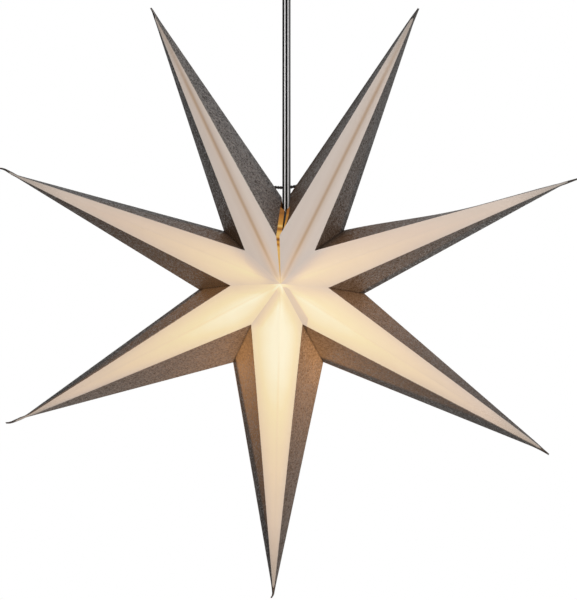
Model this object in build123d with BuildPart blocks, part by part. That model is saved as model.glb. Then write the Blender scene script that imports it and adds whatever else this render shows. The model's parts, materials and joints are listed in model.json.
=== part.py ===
from build123d import *
import os
from math import atan2, copysign, cos, degrees, radians, sin, sqrt, tan

# Paper star lantern: seven folded paper points round a small bulb, hung on a twin flex.
# Millimetres. The origin is the middle of the ceiling face, +Z is up, the star's front faces -Y.

# General clearances
CLEARANCE = 0.3
SLIP = 0.1

# Star: each point is one folded sheet, a tapering box with eight long faces
TIP_RADIUS = 236.5
SIDE_VALLEY_RADIUS = 64.0
FACE_VALLEY_RADIUS = 37.5
FACE_VALLEY_DEPTH = 48.5
HUB_HALF_DEPTH = 58.5
PAPER = 0.4
SEAM_HALF_ANGLE = 3.7
CLOSING_LAP = 11.5
CLOSING_LAP_END = 60.0
JOINING_TAB = 6.0

# The points were spread by hand, so each tip and each valley has its own bearing, clockwise from up
POINT_NAMES = ("top_right", "right", "lower_right", "bottom", "lower_left", "left", "top_left")
TIP_BEARINGS = (25.4, 68.9, 121.6, 182.2, 244.7, 293.5, 334.9)
VALLEY_BEARINGS = (45.0, 92.3, 150.0, 215.5, 271.3, 316.5)

# Closing tie between the two top points
TIE_HEIGHT = 76.0
TIE_BEHIND = 5.5
TIE_RADIUS = 0.8
KNOT_RADIUS = 2.0

# Ceiling fitting
BRACKET_WIDTH = 18.0
BRACKET_SHEET = 1.6
EAR_REACH = 42.5
EAR_DROP = 16.0
BEND_RADIUS = 2.4
SLOT_SPACING = 50.0
SLOT_LENGTH = 12.0
SLOT_WIDTH = 5.0
SUPPLY_HOLE_RADIUS = 5.0
SUPPLY_HOLE_X = 10.0
CANOPY_RADIUS = 45.0
CANOPY_HEIGHT = 40.0
CANOPY_WALL = 1.0
CANOPY_ROUND = 14.0
CANOPY_SCREW_DROP = 10.0
CANOPY_SCREW_RADIUS = 2.0
CANOPY_SCREW_HEAD_RADIUS = 3.8
CANOPY_SCREW_HEAD_HEIGHT = 2.4
CANOPY_SCREW_PAST_EAR = 4.0
BLOCK_LENGTH = 13.0
BLOCK_WIDTH = 17.0
BLOCK_HEIGHT = 12.0
BLOCK_CORNER = 1.0
BLOCK_GAP = 2.5
BLOCK_POLE_PITCH = 9.0
BLOCK_SCREW_RADIUS = 1.3
BLOCK_SCREW_HEAD_RADIUS = 2.2
BLOCK_SCREW_HEAD_HEIGHT = 1.4
POLE_SCREW_RADIUS = 1.5
POLE_SCREW_LENGTH = 3.0

# Cord grip with its ball bush
GRIP_LENGTH = 12.0
GRIP_TOP_RADIUS = 9.5
GRIP_MOUTH_RADIUS = 7.6
GRIP_FLANGE = 2.5
GRIP_THREAD_RADIUS = 5.5
GRIP_THREAD_LENGTH = 9.0
GRIP_NUT_ACROSS_FLATS = 17.0
GRIP_NUT_HEIGHT = 4.0
BUSH_RADIUS = 6.0
BUSH_DROP = 3.2
BUSH_RISE = 3.4
SWAY_ANGLE = 12.0

# Twin flex: two round cores side by side
FLEX_LOBE_RADIUS = 1.6
FLEX_WEB = 1.3
FLEX_DROP = 226.0
FLEX_TOP_ABOVE_PIVOT = 2.6
CORE_RADIUS = 1.4

# Lamp holder
HOLDER_RADIUS = 14.0
HOLDER_WALL = 1.5
HOLDER_SHOULDER = 2.5
HOLDER_NECK_HEIGHT = 8.0
HOLDER_BORE_RADIUS = 10.8
CLAMP_HEADROOM = 3.8
CLAMP_HEIGHT = 5.0
CLAMP_CORNER = 1.0
CLAMP_HALF_LENGTH = 8.5
CLAMP_BAR = 3.0
CLAMP_SCREW_X = 6.0
CLAMP_SCREW_RADIUS = 1.2
CLAMP_SCREW_DEPTH = 4.0
CLAMP_SCREW_HEAD_RADIUS = 2.1
CLAMP_SCREW_HEAD_HEIGHT = 1.4
WIRING_ROOM = 5.0
CARRIER_FLANGE = 2.0
CARRIER_BOSS_HEIGHT = 12.0
POST_X = 6.5
POST_SIDE = 6.0
POST_HEIGHT = 4.0
POST_SCREW_RADIUS = 1.0
POST_SCREW_HEAD_RADIUS = 1.7
POST_SCREW_HEAD_HEIGHT = 1.0
SHELL_BORE_RADIUS = 7.25
SHELL_WALL = 0.5
SHELL_LENGTH = 20.0
TONGUE_WIDTH = 5.0
TONGUE_SHEET = 0.5
TONGUE_LENGTH = 6.0
TONGUE_DROP = 2.0

# Bulb
BULB_RADIUS = 22.5
BULB_GLASS = 0.9
BULB_CAP_RADIUS = 6.95
BULB_CAP_LENGTH = 17.0
BULB_CAP_WALL = 0.4
BULB_NECK_INSERT = 6.0
BULB_FLARE_RADIUS = 14.0
BULB_NECK_BELOW_CAP = 2.0
INSULATOR_HEIGHT = 2.6
INSULATOR_TOP_RADIUS = 3.2
TIP_CONTACT_RADIUS = 2.3
TIP_CONTACT_HEIGHT = 1.4
STEM_RADIUS = 1.6
STEM_LENGTH = 22.0
STEM_FLARE_HEIGHT = 7.0
FILAMENT_COUNT = 4
FILAMENT_CIRCLE = 7.5
FILAMENT_RADIUS = 0.9
FILAMENT_LENGTH = 28.0
WIRE_RADIUS = 0.35

# Heights worked out from the driving sizes
CANOPY_FOOT = -CANOPY_HEIGHT
GRIP_MOUTH = CANOPY_FOOT - GRIP_LENGTH
PIVOT = GRIP_MOUTH + BUSH_DROP + CLEARANCE
HUB = GRIP_MOUTH - FLEX_DROP
FLEX_WIDTH = 4 * FLEX_LOBE_RADIUS
FLEX_THICKNESS = 2 * FLEX_LOBE_RADIUS

os.makedirs("parts", exist_ok=True)


def save(part, name):
    """Label a finished piece and write it."""
    part.label = name
    export_step(part, f"parts/{name}.step")


def flex_section(height):
    """Section of the twin flex, level with a height."""
    with BuildSketch(Plane.XY.offset(height)) as section:
        with Locations((-FLEX_LOBE_RADIUS, 0), (FLEX_LOBE_RADIUS, 0)):
            Circle(FLEX_LOBE_RADIUS)
        Rectangle(FLEX_THICKNESS, FLEX_WEB)
    return section.sketch


def flex_slot(height):
    """Slot with room for the twin flex, level with a height."""
    with BuildSketch(Plane.XY.offset(height)) as section:
        SlotOverall(FLEX_WIDTH + 2 * CLEARANCE, FLEX_THICKNESS + 2 * CLEARANCE)
    return section.sketch


def core_tube(points, bend):
    """One insulated core swept along straight runs with rounded bends."""
    with BuildPart() as core:
        with BuildLine() as route:
            FilletPolyline(*points, radius=bend)
        with BuildSketch(Plane(origin=points[0], z_dir=Vector(*points[1]) - Vector(*points[0]))):
            Circle(CORE_RADIUS)
        sweep(path=route.wire())
    return core.part


def revolved(points):
    """Solid of revolution about the cord's axis from a closed half section of (radius, height)."""
    with BuildPart() as solid:
        with BuildSketch(Plane.XZ):
            with BuildLine():
                Polyline(*points, close=True)
            make_face()
        revolve(axis=Axis.Z)
    return solid.part


# Ceiling bracket: a folded strap with slots for the ceiling screws and ears for the canopy
with BuildPart() as ceiling_bracket:
    with BuildSketch(Plane.XZ):
        with BuildLine():
            inner_reach = EAR_REACH - BRACKET_SHEET
            Polyline(
                (-EAR_REACH, -EAR_DROP),
                (-EAR_REACH, 0),
                (EAR_REACH, 0),
                (EAR_REACH, -EAR_DROP),
                (inner_reach, -EAR_DROP),
                (inner_reach, -BRACKET_SHEET),
                (-inner_reach, -BRACKET_SHEET),
                (-inner_reach, -EAR_DROP),
                close=True,
            )
        make_face()
    extrude(amount=BRACKET_WIDTH / 2, both=True)
    outer_bends = ceiling_bracket.edges().filter_by(Axis.Y).group_by(Axis.Z)[-1]
    fillet(outer_bends, radius=BEND_RADIUS)
    with BuildSketch(Plane.XY):
        with GridLocations(SLOT_SPACING, 0, 2, 1):
            SlotOverall(SLOT_LENGTH, SLOT_WIDTH)
        with Locations((SUPPLY_HOLE_X, 0)):
            Circle(SUPPLY_HOLE_RADIUS)
        with Locations((-BLOCK_GAP - BLOCK_LENGTH / 2, 0)):
            Circle(BLOCK_SCREW_RADIUS + SLIP)
    extrude(amount=-BRACKET_SHEET, mode=Mode.SUBTRACT)
    with BuildSketch(Plane.YZ):
        with Locations((0, -CANOPY_SCREW_DROP)):
            Circle(CANOPY_SCREW_RADIUS + SLIP)
    extrude(amount=EAR_REACH + BRACKET_SHEET, both=True, mode=Mode.SUBTRACT)
save(ceiling_bracket.part, "ceiling_bracket")

# Canopy: a spun cup that hides the bracket
with BuildPart() as canopy:
    with BuildSketch(Plane.XY.offset(CANOPY_FOOT)):
        Circle(CANOPY_RADIUS)
    extrude(amount=CANOPY_HEIGHT - CLEARANCE)
    fillet(canopy.faces().sort_by(Axis.Z)[0].edges(), radius=CANOPY_ROUND)
    offset(amount=-CANOPY_WALL, openings=canopy.faces().sort_by(Axis.Z)[-1])
    with BuildSketch(Plane.XY.offset(CANOPY_FOOT)):
        Circle(GRIP_THREAD_RADIUS + SLIP)
    extrude(amount=2 * CANOPY_WALL, mode=Mode.SUBTRACT)
    with BuildSketch(Plane.YZ):
        with Locations((0, -CANOPY_SCREW_DROP)):
            Circle(CANOPY_SCREW_RADIUS + CLEARANCE)
    extrude(amount=CANOPY_RADIUS + CANOPY_WALL, both=True, mode=Mode.SUBTRACT)
save(canopy.part, "canopy")

# Canopy screws: one into each ear
with BuildPart() as canopy_screws:
    screw_start = EAR_REACH - BRACKET_SHEET - CANOPY_SCREW_PAST_EAR
    with BuildSketch(Plane.YZ.offset(screw_start)):
        with Locations((0, -CANOPY_SCREW_DROP)):
            Circle(CANOPY_SCREW_RADIUS)
    extrude(amount=CANOPY_RADIUS + SLIP - screw_start)
    with BuildSketch(Plane.YZ.offset(CANOPY_RADIUS + SLIP)):
        with Locations((0, -CANOPY_SCREW_DROP)):
            Circle(CANOPY_SCREW_HEAD_RADIUS)
    extrude(amount=CANOPY_SCREW_HEAD_HEIGHT)
    fillet(canopy_screws.faces().sort_by(Axis.X)[-1].edges(), radius=CANOPY_SCREW_HEAD_HEIGHT / 2)
    mirror(about=Plane.YZ)
save(canopy_screws.part, "canopy_screws")

# Terminal block under the bracket, with a bore for each core and a screw over each bore
BLOCK_CENTRE_X = -BLOCK_GAP - BLOCK_LENGTH / 2
BLOCK_MIDDLE = -BRACKET_SHEET - BLOCK_HEIGHT / 2
BLOCK_FOOT = -BRACKET_SHEET - BLOCK_HEIGHT
POLE_Y = BLOCK_POLE_PITCH / 2
with BuildPart() as terminal_block:
    with BuildSketch(Plane.XY.offset(-BRACKET_SHEET)):
        with Locations((BLOCK_CENTRE_X, 0)):
            RectangleRounded(BLOCK_LENGTH, BLOCK_WIDTH, BLOCK_CORNER)
    extrude(amount=-BLOCK_HEIGHT)
    with BuildSketch(Plane.YZ.offset(-BLOCK_GAP)):
        with Locations((-POLE_Y, BLOCK_MIDDLE), (POLE_Y, BLOCK_MIDDLE)):
            Circle(CORE_RADIUS + CLEARANCE)
    extrude(amount=-BLOCK_LENGTH, mode=Mode.SUBTRACT)
    with BuildSketch(Plane.XY.offset(BLOCK_FOOT)):
        with Locations((BLOCK_CENTRE_X, -POLE_Y), (BLOCK_CENTRE_X, POLE_Y)):
            Circle(POLE_SCREW_RADIUS + SLIP)
    extrude(amount=BLOCK_HEIGHT / 2, mode=Mode.SUBTRACT)
    with BuildSketch(Plane.XY.offset(BLOCK_FOOT)):
        with Locations((BLOCK_CENTRE_X, 0)):
            Circle(BLOCK_SCREW_RADIUS + SLIP)
    extrude(amount=BLOCK_HEIGHT, mode=Mode.SUBTRACT)
save(terminal_block.part, "terminal_block")

with BuildPart() as block_screw:
    with BuildSketch(Plane.XY.offset(BLOCK_FOOT)):
        with Locations((BLOCK_CENTRE_X, 0)):
            Circle(BLOCK_SCREW_RADIUS)
    extrude(amount=BLOCK_HEIGHT + BRACKET_SHEET)
    with BuildSketch(Plane.XY.offset(BLOCK_FOOT)):
        with Locations((BLOCK_CENTRE_X, 0)):
            Circle(BLOCK_SCREW_HEAD_RADIUS)
    extrude(amount=-BLOCK_SCREW_HEAD_HEIGHT)
save(block_screw.part, "block_screw")

with BuildPart() as pole_screws:
    with BuildSketch(Plane.XY.offset(BLOCK_MIDDLE - CORE_RADIUS)):
        with Locations((BLOCK_CENTRE_X, -POLE_Y), (BLOCK_CENTRE_X, POLE_Y)):
            Circle(POLE_SCREW_RADIUS)
    extrude(amount=-POLE_SCREW_LENGTH)
save(pole_screws.part, "pole_screws")

# Cord grip: a threaded nylon gland with a round seat for the ball bush in its mouth
GRIP_SEAT_RADIUS = BUSH_RADIUS + CLEARANCE
with BuildPart() as cord_grip:
    with BuildSketch(Plane.XZ):
        with BuildLine():
            Polyline(
                (0, GRIP_MOUTH),
                (GRIP_MOUTH_RADIUS, GRIP_MOUTH),
                (GRIP_TOP_RADIUS, CANOPY_FOOT - GRIP_FLANGE),
                (GRIP_TOP_RADIUS, CANOPY_FOOT),
                (GRIP_THREAD_RADIUS, CANOPY_FOOT),
                (GRIP_THREAD_RADIUS, CANOPY_FOOT + GRIP_THREAD_LENGTH),
                (0, CANOPY_FOOT + GRIP_THREAD_LENGTH),
                close=True,
            )
        make_face()
    revolve(axis=Axis.Z)
    with Locations((0, 0, PIVOT)):
        Sphere(GRIP_SEAT_RADIUS, mode=Mode.SUBTRACT)
    extrude(flex_slot(PIVOT), amount=CANOPY_FOOT + GRIP_THREAD_LENGTH - PIVOT, mode=Mode.SUBTRACT)
save(cord_grip.part, "cord_grip")

with BuildPart() as grip_nut:
    with BuildSketch(Plane.XY.offset(CANOPY_FOOT + CANOPY_WALL)):
        RegularPolygon(GRIP_NUT_ACROSS_FLATS / 2, 6, major_radius=False)
        Circle(GRIP_THREAD_RADIUS + SLIP, mode=Mode.SUBTRACT)
    extrude(amount=GRIP_NUT_HEIGHT)
save(grip_nut.part, "grip_nut")

# Ball bush: turns in the grip's seat, and the flex rocks sideways in its slot
SLOT_ROOM = max(BUSH_DROP, BUSH_RISE) * tan(radians(SWAY_ANGLE))
with BuildPart() as outlet_bush:
    with Locations((0, 0, PIVOT)):
        Sphere(BUSH_RADIUS)
    split(bisect_by=Plane.XY.offset(PIVOT + BUSH_RISE), keep=Keep.BOTTOM)
    split(bisect_by=Plane.XY.offset(PIVOT - BUSH_DROP), keep=Keep.TOP)
    with BuildSketch(Plane.XY.offset(PIVOT)):
        SlotOverall(FLEX_WIDTH + 2 * (SLOT_ROOM + CLEARANCE), FLEX_THICKNESS + 2 * CLEARANCE)
    extrude(amount=BUSH_RADIUS, both=True, mode=Mode.SUBTRACT)
save(outlet_bush.part, "outlet_bush")

# Flex tail: the end of the flex that the grip holds, with its two cores parted to the terminal block
TAIL_FOOT = PIVOT + GRIP_SEAT_RADIUS + CLEARANCE
TAIL_FORK = CANOPY_FOOT + GRIP_THREAD_LENGTH + 2 * CORE_RADIUS
TAIL_TURN_X = -BLOCK_GAP + 4 * CORE_RADIUS
TAIL_END_X = -BLOCK_GAP - BLOCK_LENGTH / 2 - POLE_SCREW_RADIUS
with BuildPart() as flex_tail:
    extrude(flex_section(TAIL_FOOT), amount=TAIL_FORK - TAIL_FOOT)
    for side in (-1, 1):
        add(core_tube(
            (
                (side * FLEX_LOBE_RADIUS, 0, TAIL_FORK - CORE_RADIUS),
                (side * FLEX_LOBE_RADIUS, 0, TAIL_FORK + 2 * CORE_RADIUS),
                (TAIL_TURN_X, side * POLE_Y, BLOCK_MIDDLE),
                (TAIL_END_X, side * POLE_Y, BLOCK_MIDDLE),
            ),
            2 * CORE_RADIUS,
        ))
save(flex_tail.part, "flex_tail")

# Lamp holder: its coned cap carries the star, whose closing seam has the same slope
SEAM_SLOPE = (SIDE_VALLEY_RADIUS - FACE_VALLEY_RADIUS) * cos(radians(SEAM_HALF_ANGLE)) / FACE_VALLEY_DEPTH
SEAM_LENGTHENING = sqrt(1 + SEAM_SLOPE**2)
SEAM_TOP = SIDE_VALLEY_RADIUS * cos(radians(SEAM_HALF_ANGLE))
PAPER_ROOM = 1.5 * PAPER + CLEARANCE
CAP_APEX = HUB + SEAM_TOP - PAPER_ROOM * SEAM_LENGTHENING
ENTRY_RADIUS = FLEX_WIDTH / 2 + CLEARANCE
CAP_BORE_RADIUS = HOLDER_RADIUS - HOLDER_WALL
CAP_INNER_DROP = HOLDER_WALL * SEAM_LENGTHENING


def cap_height(radius):
    """Height of the cap's cone at a radius."""
    return CAP_APEX - SEAM_SLOPE * radius


# Everything in the holder hangs down from the cap's cone: clamp, wiring room, posts, carrier and body
CLAMP_FACE = FLEX_THICKNESS / 2 + SLIP
CLAMP_REACH = sqrt(CLAMP_HALF_LENGTH**2 + (CLAMP_FACE + CLAMP_BAR) ** 2)
CLAMP_TOP = cap_height(CLAMP_REACH) - CAP_INNER_DROP - CLAMP_HEADROOM
CLAMP_MIDDLE = CLAMP_TOP - CLAMP_HEIGHT / 2
CORD_FOOT = CLAMP_TOP - CLAMP_HEIGHT
POST_TOP = CORD_FOOT - WIRING_ROOM
CARRIER_TOP = POST_TOP - POST_HEIGHT
NECK_TOP = CARRIER_TOP - CARRIER_FLANGE
CAP_FOOT = NECK_TOP - HOLDER_NECK_HEIGHT
BOSS_FOOT = NECK_TOP - CARRIER_BOSS_HEIGHT
SHELL_FOOT = BOSS_FOOT - SHELL_LENGTH
HOLDER_FOOT = SHELL_FOOT - HOLDER_WALL

with BuildPart() as lampholder_cap:
    add(revolved((
        (ENTRY_RADIUS, cap_height(ENTRY_RADIUS)),
        (HOLDER_RADIUS - HOLDER_SHOULDER, cap_height(HOLDER_RADIUS - HOLDER_SHOULDER)),
        (HOLDER_RADIUS, cap_height(HOLDER_RADIUS) - HOLDER_SHOULDER),
        (HOLDER_RADIUS, CAP_FOOT),
        (CAP_BORE_RADIUS, CAP_FOOT),
        (CAP_BORE_RADIUS, cap_height(CAP_BORE_RADIUS) - CAP_INNER_DROP - HOLDER_SHOULDER),
        (CAP_BORE_RADIUS - HOLDER_SHOULDER, cap_height(CAP_BORE_RADIUS - HOLDER_SHOULDER) - CAP_INNER_DROP),
        (ENTRY_RADIUS, cap_height(ENTRY_RADIUS) - CAP_INNER_DROP),
    )))
    with BuildSketch(Plane.XY.offset(CLAMP_MIDDLE)):
        with Locations((0, -CLAMP_FACE)):
            Rectangle(2 * CLAMP_HALF_LENGTH, 2 * HOLDER_RADIUS, align=(Align.CENTER, Align.MAX))
        Circle(HOLDER_RADIUS - HOLDER_WALL / 2, mode=Mode.INTERSECT)
    extrude(amount=CLAMP_HEIGHT / 2, both=True)
    with BuildSketch(Plane.XZ):
        with Locations((-CLAMP_SCREW_X, CLAMP_MIDDLE), (CLAMP_SCREW_X, CLAMP_MIDDLE)):
            Circle(CLAMP_SCREW_RADIUS + SLIP)
    extrude(amount=CLAMP_FACE + CLAMP_SCREW_DEPTH + CLEARANCE, mode=Mode.SUBTRACT)
save(lampholder_cap.part, "lampholder_cap")

with BuildPart() as cord_clamp:
    with BuildSketch(Plane.XZ.offset(-CLAMP_FACE)):
        with Locations((0, CLAMP_MIDDLE)):
            RectangleRounded(2 * CLAMP_HALF_LENGTH, CLAMP_HEIGHT, CLAMP_CORNER)
        with Locations((-CLAMP_SCREW_X, CLAMP_MIDDLE), (CLAMP_SCREW_X, CLAMP_MIDDLE)):
            Circle(CLAMP_SCREW_RADIUS + SLIP, mode=Mode.SUBTRACT)
    extrude(amount=-CLAMP_BAR)
save(cord_clamp.part, "cord_clamp")

with BuildPart() as clamp_screws:
    clamp_back = CLAMP_FACE + CLAMP_BAR
    with BuildSketch(Plane.XZ.offset(-clamp_back)):
        with Locations((-CLAMP_SCREW_X, CLAMP_MIDDLE), (CLAMP_SCREW_X, CLAMP_MIDDLE)):
            Circle(CLAMP_SCREW_RADIUS)
    extrude(amount=clamp_back + CLAMP_FACE + CLAMP_SCREW_DEPTH)
    with BuildSketch(Plane.XZ.offset(-clamp_back)):
        with Locations((-CLAMP_SCREW_X, CLAMP_MIDDLE), (CLAMP_SCREW_X, CLAMP_MIDDLE)):
            Circle(CLAMP_SCREW_HEAD_RADIUS)
    extrude(amount=-CLAMP_SCREW_HEAD_HEIGHT)
save(clamp_screws.part, "clamp_screws")

# Cord: one straight, taut stretch of twin flex from the ball bush into the holder's clamp
CORD_TOP = PIVOT + FLEX_TOP_ABOVE_PIVOT
with BuildPart() as cord:
    extrude(flex_section(CORD_FOOT), amount=CORD_TOP - CORD_FOOT)
save(cord.part, "cord")

# Flex cores: the two cores parted from the clamp to the terminal posts
with BuildPart() as flex_cores:
    for side in (-1, 1):
        add(core_tube(
            (
                (side * FLEX_LOBE_RADIUS, 0, CORD_FOOT),
                (side * FLEX_LOBE_RADIUS, 0, CORD_FOOT - CORE_RADIUS),
                (side * POST_X, 0, POST_TOP + CORE_RADIUS + CLEARANCE),
                (side * POST_X, 0, CARRIER_TOP + CLEARANCE),
            ),
            CORE_RADIUS + 2 * SLIP,
        ))
save(flex_cores.part, "flex_cores")

# Body: a plain skirt that screws up into the cap
with BuildPart() as lampholder_body:
    add(revolved((
        (HOLDER_BORE_RADIUS, HOLDER_FOOT),
        (HOLDER_RADIUS - HOLDER_WALL / 2, HOLDER_FOOT),
        (HOLDER_RADIUS, HOLDER_FOOT + HOLDER_WALL),
        (HOLDER_RADIUS, CAP_FOOT),
        (CAP_BORE_RADIUS - SLIP, CAP_FOOT),
        (CAP_BORE_RADIUS - SLIP, NECK_TOP),
        (HOLDER_BORE_RADIUS, NECK_TOP),
    )))
save(lampholder_body.part, "lampholder_body")

# Contact carrier: an insulating plug on the body's neck, with two terminal posts
with BuildPart() as contact_carrier:
    add(revolved((
        (0, BOSS_FOOT),
        (HOLDER_BORE_RADIUS - SLIP, BOSS_FOOT),
        (HOLDER_BORE_RADIUS - SLIP, NECK_TOP),
        (CAP_BORE_RADIUS - SLIP, NECK_TOP),
        (CAP_BORE_RADIUS - SLIP, CARRIER_TOP),
        (0, CARRIER_TOP),
    )))
    with BuildSketch(Plane.XY.offset(CARRIER_TOP)):
        with Locations((-POST_X, 0), (POST_X, 0)):
            Rectangle(POST_SIDE, POST_SIDE)
            Circle(CORE_RADIUS + CLEARANCE, mode=Mode.SUBTRACT)
    extrude(amount=POST_HEIGHT)
    with BuildSketch(Plane.XZ):
        with Locations((-POST_X, CARRIER_TOP + POST_HEIGHT / 2), (POST_X, CARRIER_TOP + POST_HEIGHT / 2)):
            Circle(POST_SCREW_RADIUS + SLIP)
    extrude(amount=POST_SIDE, mode=Mode.SUBTRACT)
save(contact_carrier.part, "contact_carrier")

with BuildPart() as post_screws:
    post_places = [(side * POST_X, CARRIER_TOP + POST_HEIGHT / 2) for side in (-1, 1)]
    with BuildSketch(Plane.XZ.offset(CORE_RADIUS + SLIP)):
        with Locations(*post_places):
            Circle(POST_SCREW_RADIUS)
    extrude(amount=POST_SIDE / 2 - CORE_RADIUS - SLIP)
    with BuildSketch(Plane.XZ.offset(POST_SIDE / 2)):
        with Locations(*post_places):
            Circle(POST_SCREW_HEAD_RADIUS)
    extrude(amount=POST_SCREW_HEAD_HEIGHT)
save(post_screws.part, "post_screws")

# Thread shell and centre contact hang from the carrier
with BuildPart() as thread_shell:
    with BuildSketch(Plane.XY.offset(BOSS_FOOT)):
        Circle(SHELL_BORE_RADIUS + SHELL_WALL)
        Circle(SHELL_BORE_RADIUS, mode=Mode.SUBTRACT)
    extrude(amount=-SHELL_LENGTH)
save(thread_shell.part, "thread_shell")

with BuildPart() as centre_contact:
    with BuildSketch(Plane.XZ):
        with BuildLine():
            Polyline(
                (-TONGUE_LENGTH, BOSS_FOOT),
                (-TONGUE_LENGTH / 3, BOSS_FOOT),
                (TONGUE_LENGTH / 2, BOSS_FOOT - TONGUE_DROP),
                (TONGUE_LENGTH / 2, BOSS_FOOT - TONGUE_DROP - TONGUE_SHEET),
                (-TONGUE_LENGTH / 3, BOSS_FOOT - TONGUE_SHEET),
                (-TONGUE_LENGTH, BOSS_FOOT - TONGUE_SHEET),
                close=True,
            )
        make_face()
    extrude(amount=TONGUE_WIDTH / 2, both=True)
save(centre_contact.part, "centre_contact")

# Bulb: tip contact and insulator ride up and down, and the cap with the glass turns under them
TIP_TOP = BOSS_FOOT - TONGUE_DROP - TONGUE_SHEET - CLEARANCE
TIP_FOOT = TIP_TOP - TIP_CONTACT_HEIGHT
INSULATOR_FOOT = TIP_FOOT - INSULATOR_HEIGHT
BULB_CAP_TOP = INSULATOR_FOOT - CLEARANCE
BULB_CAP_FOOT = BULB_CAP_TOP - BULB_CAP_LENGTH
NECK_RADIUS = BULB_CAP_RADIUS - BULB_CAP_WALL - SLIP
FLARE_CENTRE_RADIUS = NECK_RADIUS + BULB_FLARE_RADIUS
FLARE_RISE = sqrt((BULB_RADIUS + BULB_FLARE_RADIUS) ** 2 - FLARE_CENTRE_RADIUS**2)
FLARE_HEIGHT = BULB_CAP_FOOT - BULB_NECK_BELOW_CAP
BULB_CENTRE = FLARE_HEIGHT - FLARE_RISE
FLARE_ANGLE = degrees(atan2(FLARE_RISE, FLARE_CENTRE_RADIUS))

with BuildPart() as bulb_tip_contact:
    with BuildSketch(Plane.XY.offset(TIP_FOOT)):
        Circle(TIP_CONTACT_RADIUS)
    extrude(amount=TIP_CONTACT_HEIGHT)
    fillet(bulb_tip_contact.faces().sort_by(Axis.Z)[-1].edges(), radius=TIP_CONTACT_HEIGHT / 2)
save(bulb_tip_contact.part, "bulb_tip_contact")

with BuildPart() as bulb_insulator:
    add(revolved((
        (0, INSULATOR_FOOT),
        (BULB_CAP_RADIUS - 2 * BULB_CAP_WALL, INSULATOR_FOOT),
        (INSULATOR_TOP_RADIUS, TIP_FOOT),
        (0, TIP_FOOT),
    )))
save(bulb_insulator.part, "bulb_insulator")

with BuildPart() as bulb_cap:
    add(revolved((
        (BULB_CAP_RADIUS - BULB_CAP_WALL, BULB_CAP_FOOT),
        (BULB_CAP_RADIUS, BULB_CAP_FOOT),
        (BULB_CAP_RADIUS, BULB_CAP_TOP - 2 * BULB_CAP_WALL),
        (BULB_CAP_RADIUS - 2 * BULB_CAP_WALL, BULB_CAP_TOP),
        (INSULATOR_TOP_RADIUS, BULB_CAP_TOP),
        (INSULATOR_TOP_RADIUS, BULB_CAP_TOP - BULB_CAP_WALL),
        (BULB_CAP_RADIUS - BULB_CAP_WALL, BULB_CAP_TOP - 2 * BULB_CAP_WALL - BULB_CAP_WALL),
    )))
save(bulb_cap.part, "bulb_cap")


def on_circle(centre, radius, angle):
    """Point at an angle on a circle in the half section."""
    return (centre[0] + radius * cos(radians(angle)), centre[1] + radius * sin(radians(angle)))


def glass_form(inset, neck_top):
    """Solid form of the bulb's glass, with its outline moved inwards by an inset."""
    ball = BULB_RADIUS - inset
    flare = BULB_FLARE_RADIUS + inset
    ball_centre = (0, BULB_CENTRE)
    flare_centre = (FLARE_CENTRE_RADIUS, FLARE_HEIGHT)
    neck_foot = on_circle(flare_centre, flare, 180)
    joint = on_circle(ball_centre, ball, FLARE_ANGLE)
    pole = on_circle(ball_centre, ball, -90)
    with BuildPart() as form:
        with BuildSketch(Plane.XZ):
            with BuildLine():
                Polyline(pole, (0, neck_top), (neck_foot[0], neck_top), neck_foot)
                ThreePointArc(neck_foot, on_circle(flare_centre, flare, 180 + FLARE_ANGLE / 2), joint)
                ThreePointArc(joint, on_circle(ball_centre, ball, (FLARE_ANGLE - 90) / 2), pole)
            make_face()
        revolve(axis=Axis.Z)
    return form.part


NECK_END = BULB_CAP_FOOT + BULB_NECK_INSERT
with BuildPart() as bulb_glass:
    add(glass_form(0, NECK_END))
    add(glass_form(BULB_GLASS, NECK_END + BULB_GLASS), mode=Mode.SUBTRACT)
save(bulb_glass.part, "bulb_glass")

# Stem: a flared glass rod sealed into the neck, which holds the lead wires
STEM_FOOT = NECK_END - STEM_LENGTH
with BuildPart() as bulb_stem:
    add(revolved((
        (0, NECK_END),
        (NECK_RADIUS - BULB_GLASS - SLIP, NECK_END),
        (NECK_RADIUS - BULB_GLASS - SLIP, NECK_END - STEM_RADIUS),
        (STEM_RADIUS, NECK_END - STEM_FLARE_HEIGHT),
        (STEM_RADIUS, STEM_FOOT),
        (0, STEM_FOOT),
    )))
save(bulb_stem.part, "bulb_stem")

# Filaments: upright sticks on a circle, hung between two crosses of wire
FILAMENT_TOP = STEM_FOOT - WIRE_RADIUS
FILAMENT_FOOT = FILAMENT_TOP - FILAMENT_LENGTH
with BuildPart() as bulb_filaments:
    with BuildSketch(Plane.XY.offset(FILAMENT_FOOT)):
        with PolarLocations(FILAMENT_CIRCLE, FILAMENT_COUNT):
            Circle(FILAMENT_RADIUS)
    extrude(amount=FILAMENT_LENGTH - WIRE_RADIUS)
save(bulb_filaments.part, "bulb_filaments")

with BuildPart() as filament_wires:
    for level in (FILAMENT_TOP, FILAMENT_FOOT - WIRE_RADIUS):
        for turn in range(FILAMENT_COUNT):
            arm = Vector(1, 0, 0).rotate(Axis.Z, turn * 360 / FILAMENT_COUNT)
            with BuildSketch(Plane(origin=(0, 0, level), z_dir=arm)):
                Circle(WIRE_RADIUS)
            extrude(amount=FILAMENT_CIRCLE + FILAMENT_RADIUS)
save(filament_wires.part, "filament_wires")

# Star points
SET_BACK = PAPER * TIP_RADIUS / FACE_VALLEY_DEPTH
HUB_CENTRE = Vector(0, 0, HUB)


def outward(bearing):
    """Unit vector from the hub towards a bearing in the star's plane."""
    return Vector(sin(radians(bearing)), 0, cos(radians(bearing)))


def clockwise(bearing):
    """Unit vector square to a bearing, on its clockwise side as seen from the front."""
    return Vector(cos(radians(bearing)), 0, -sin(radians(bearing)))


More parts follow.
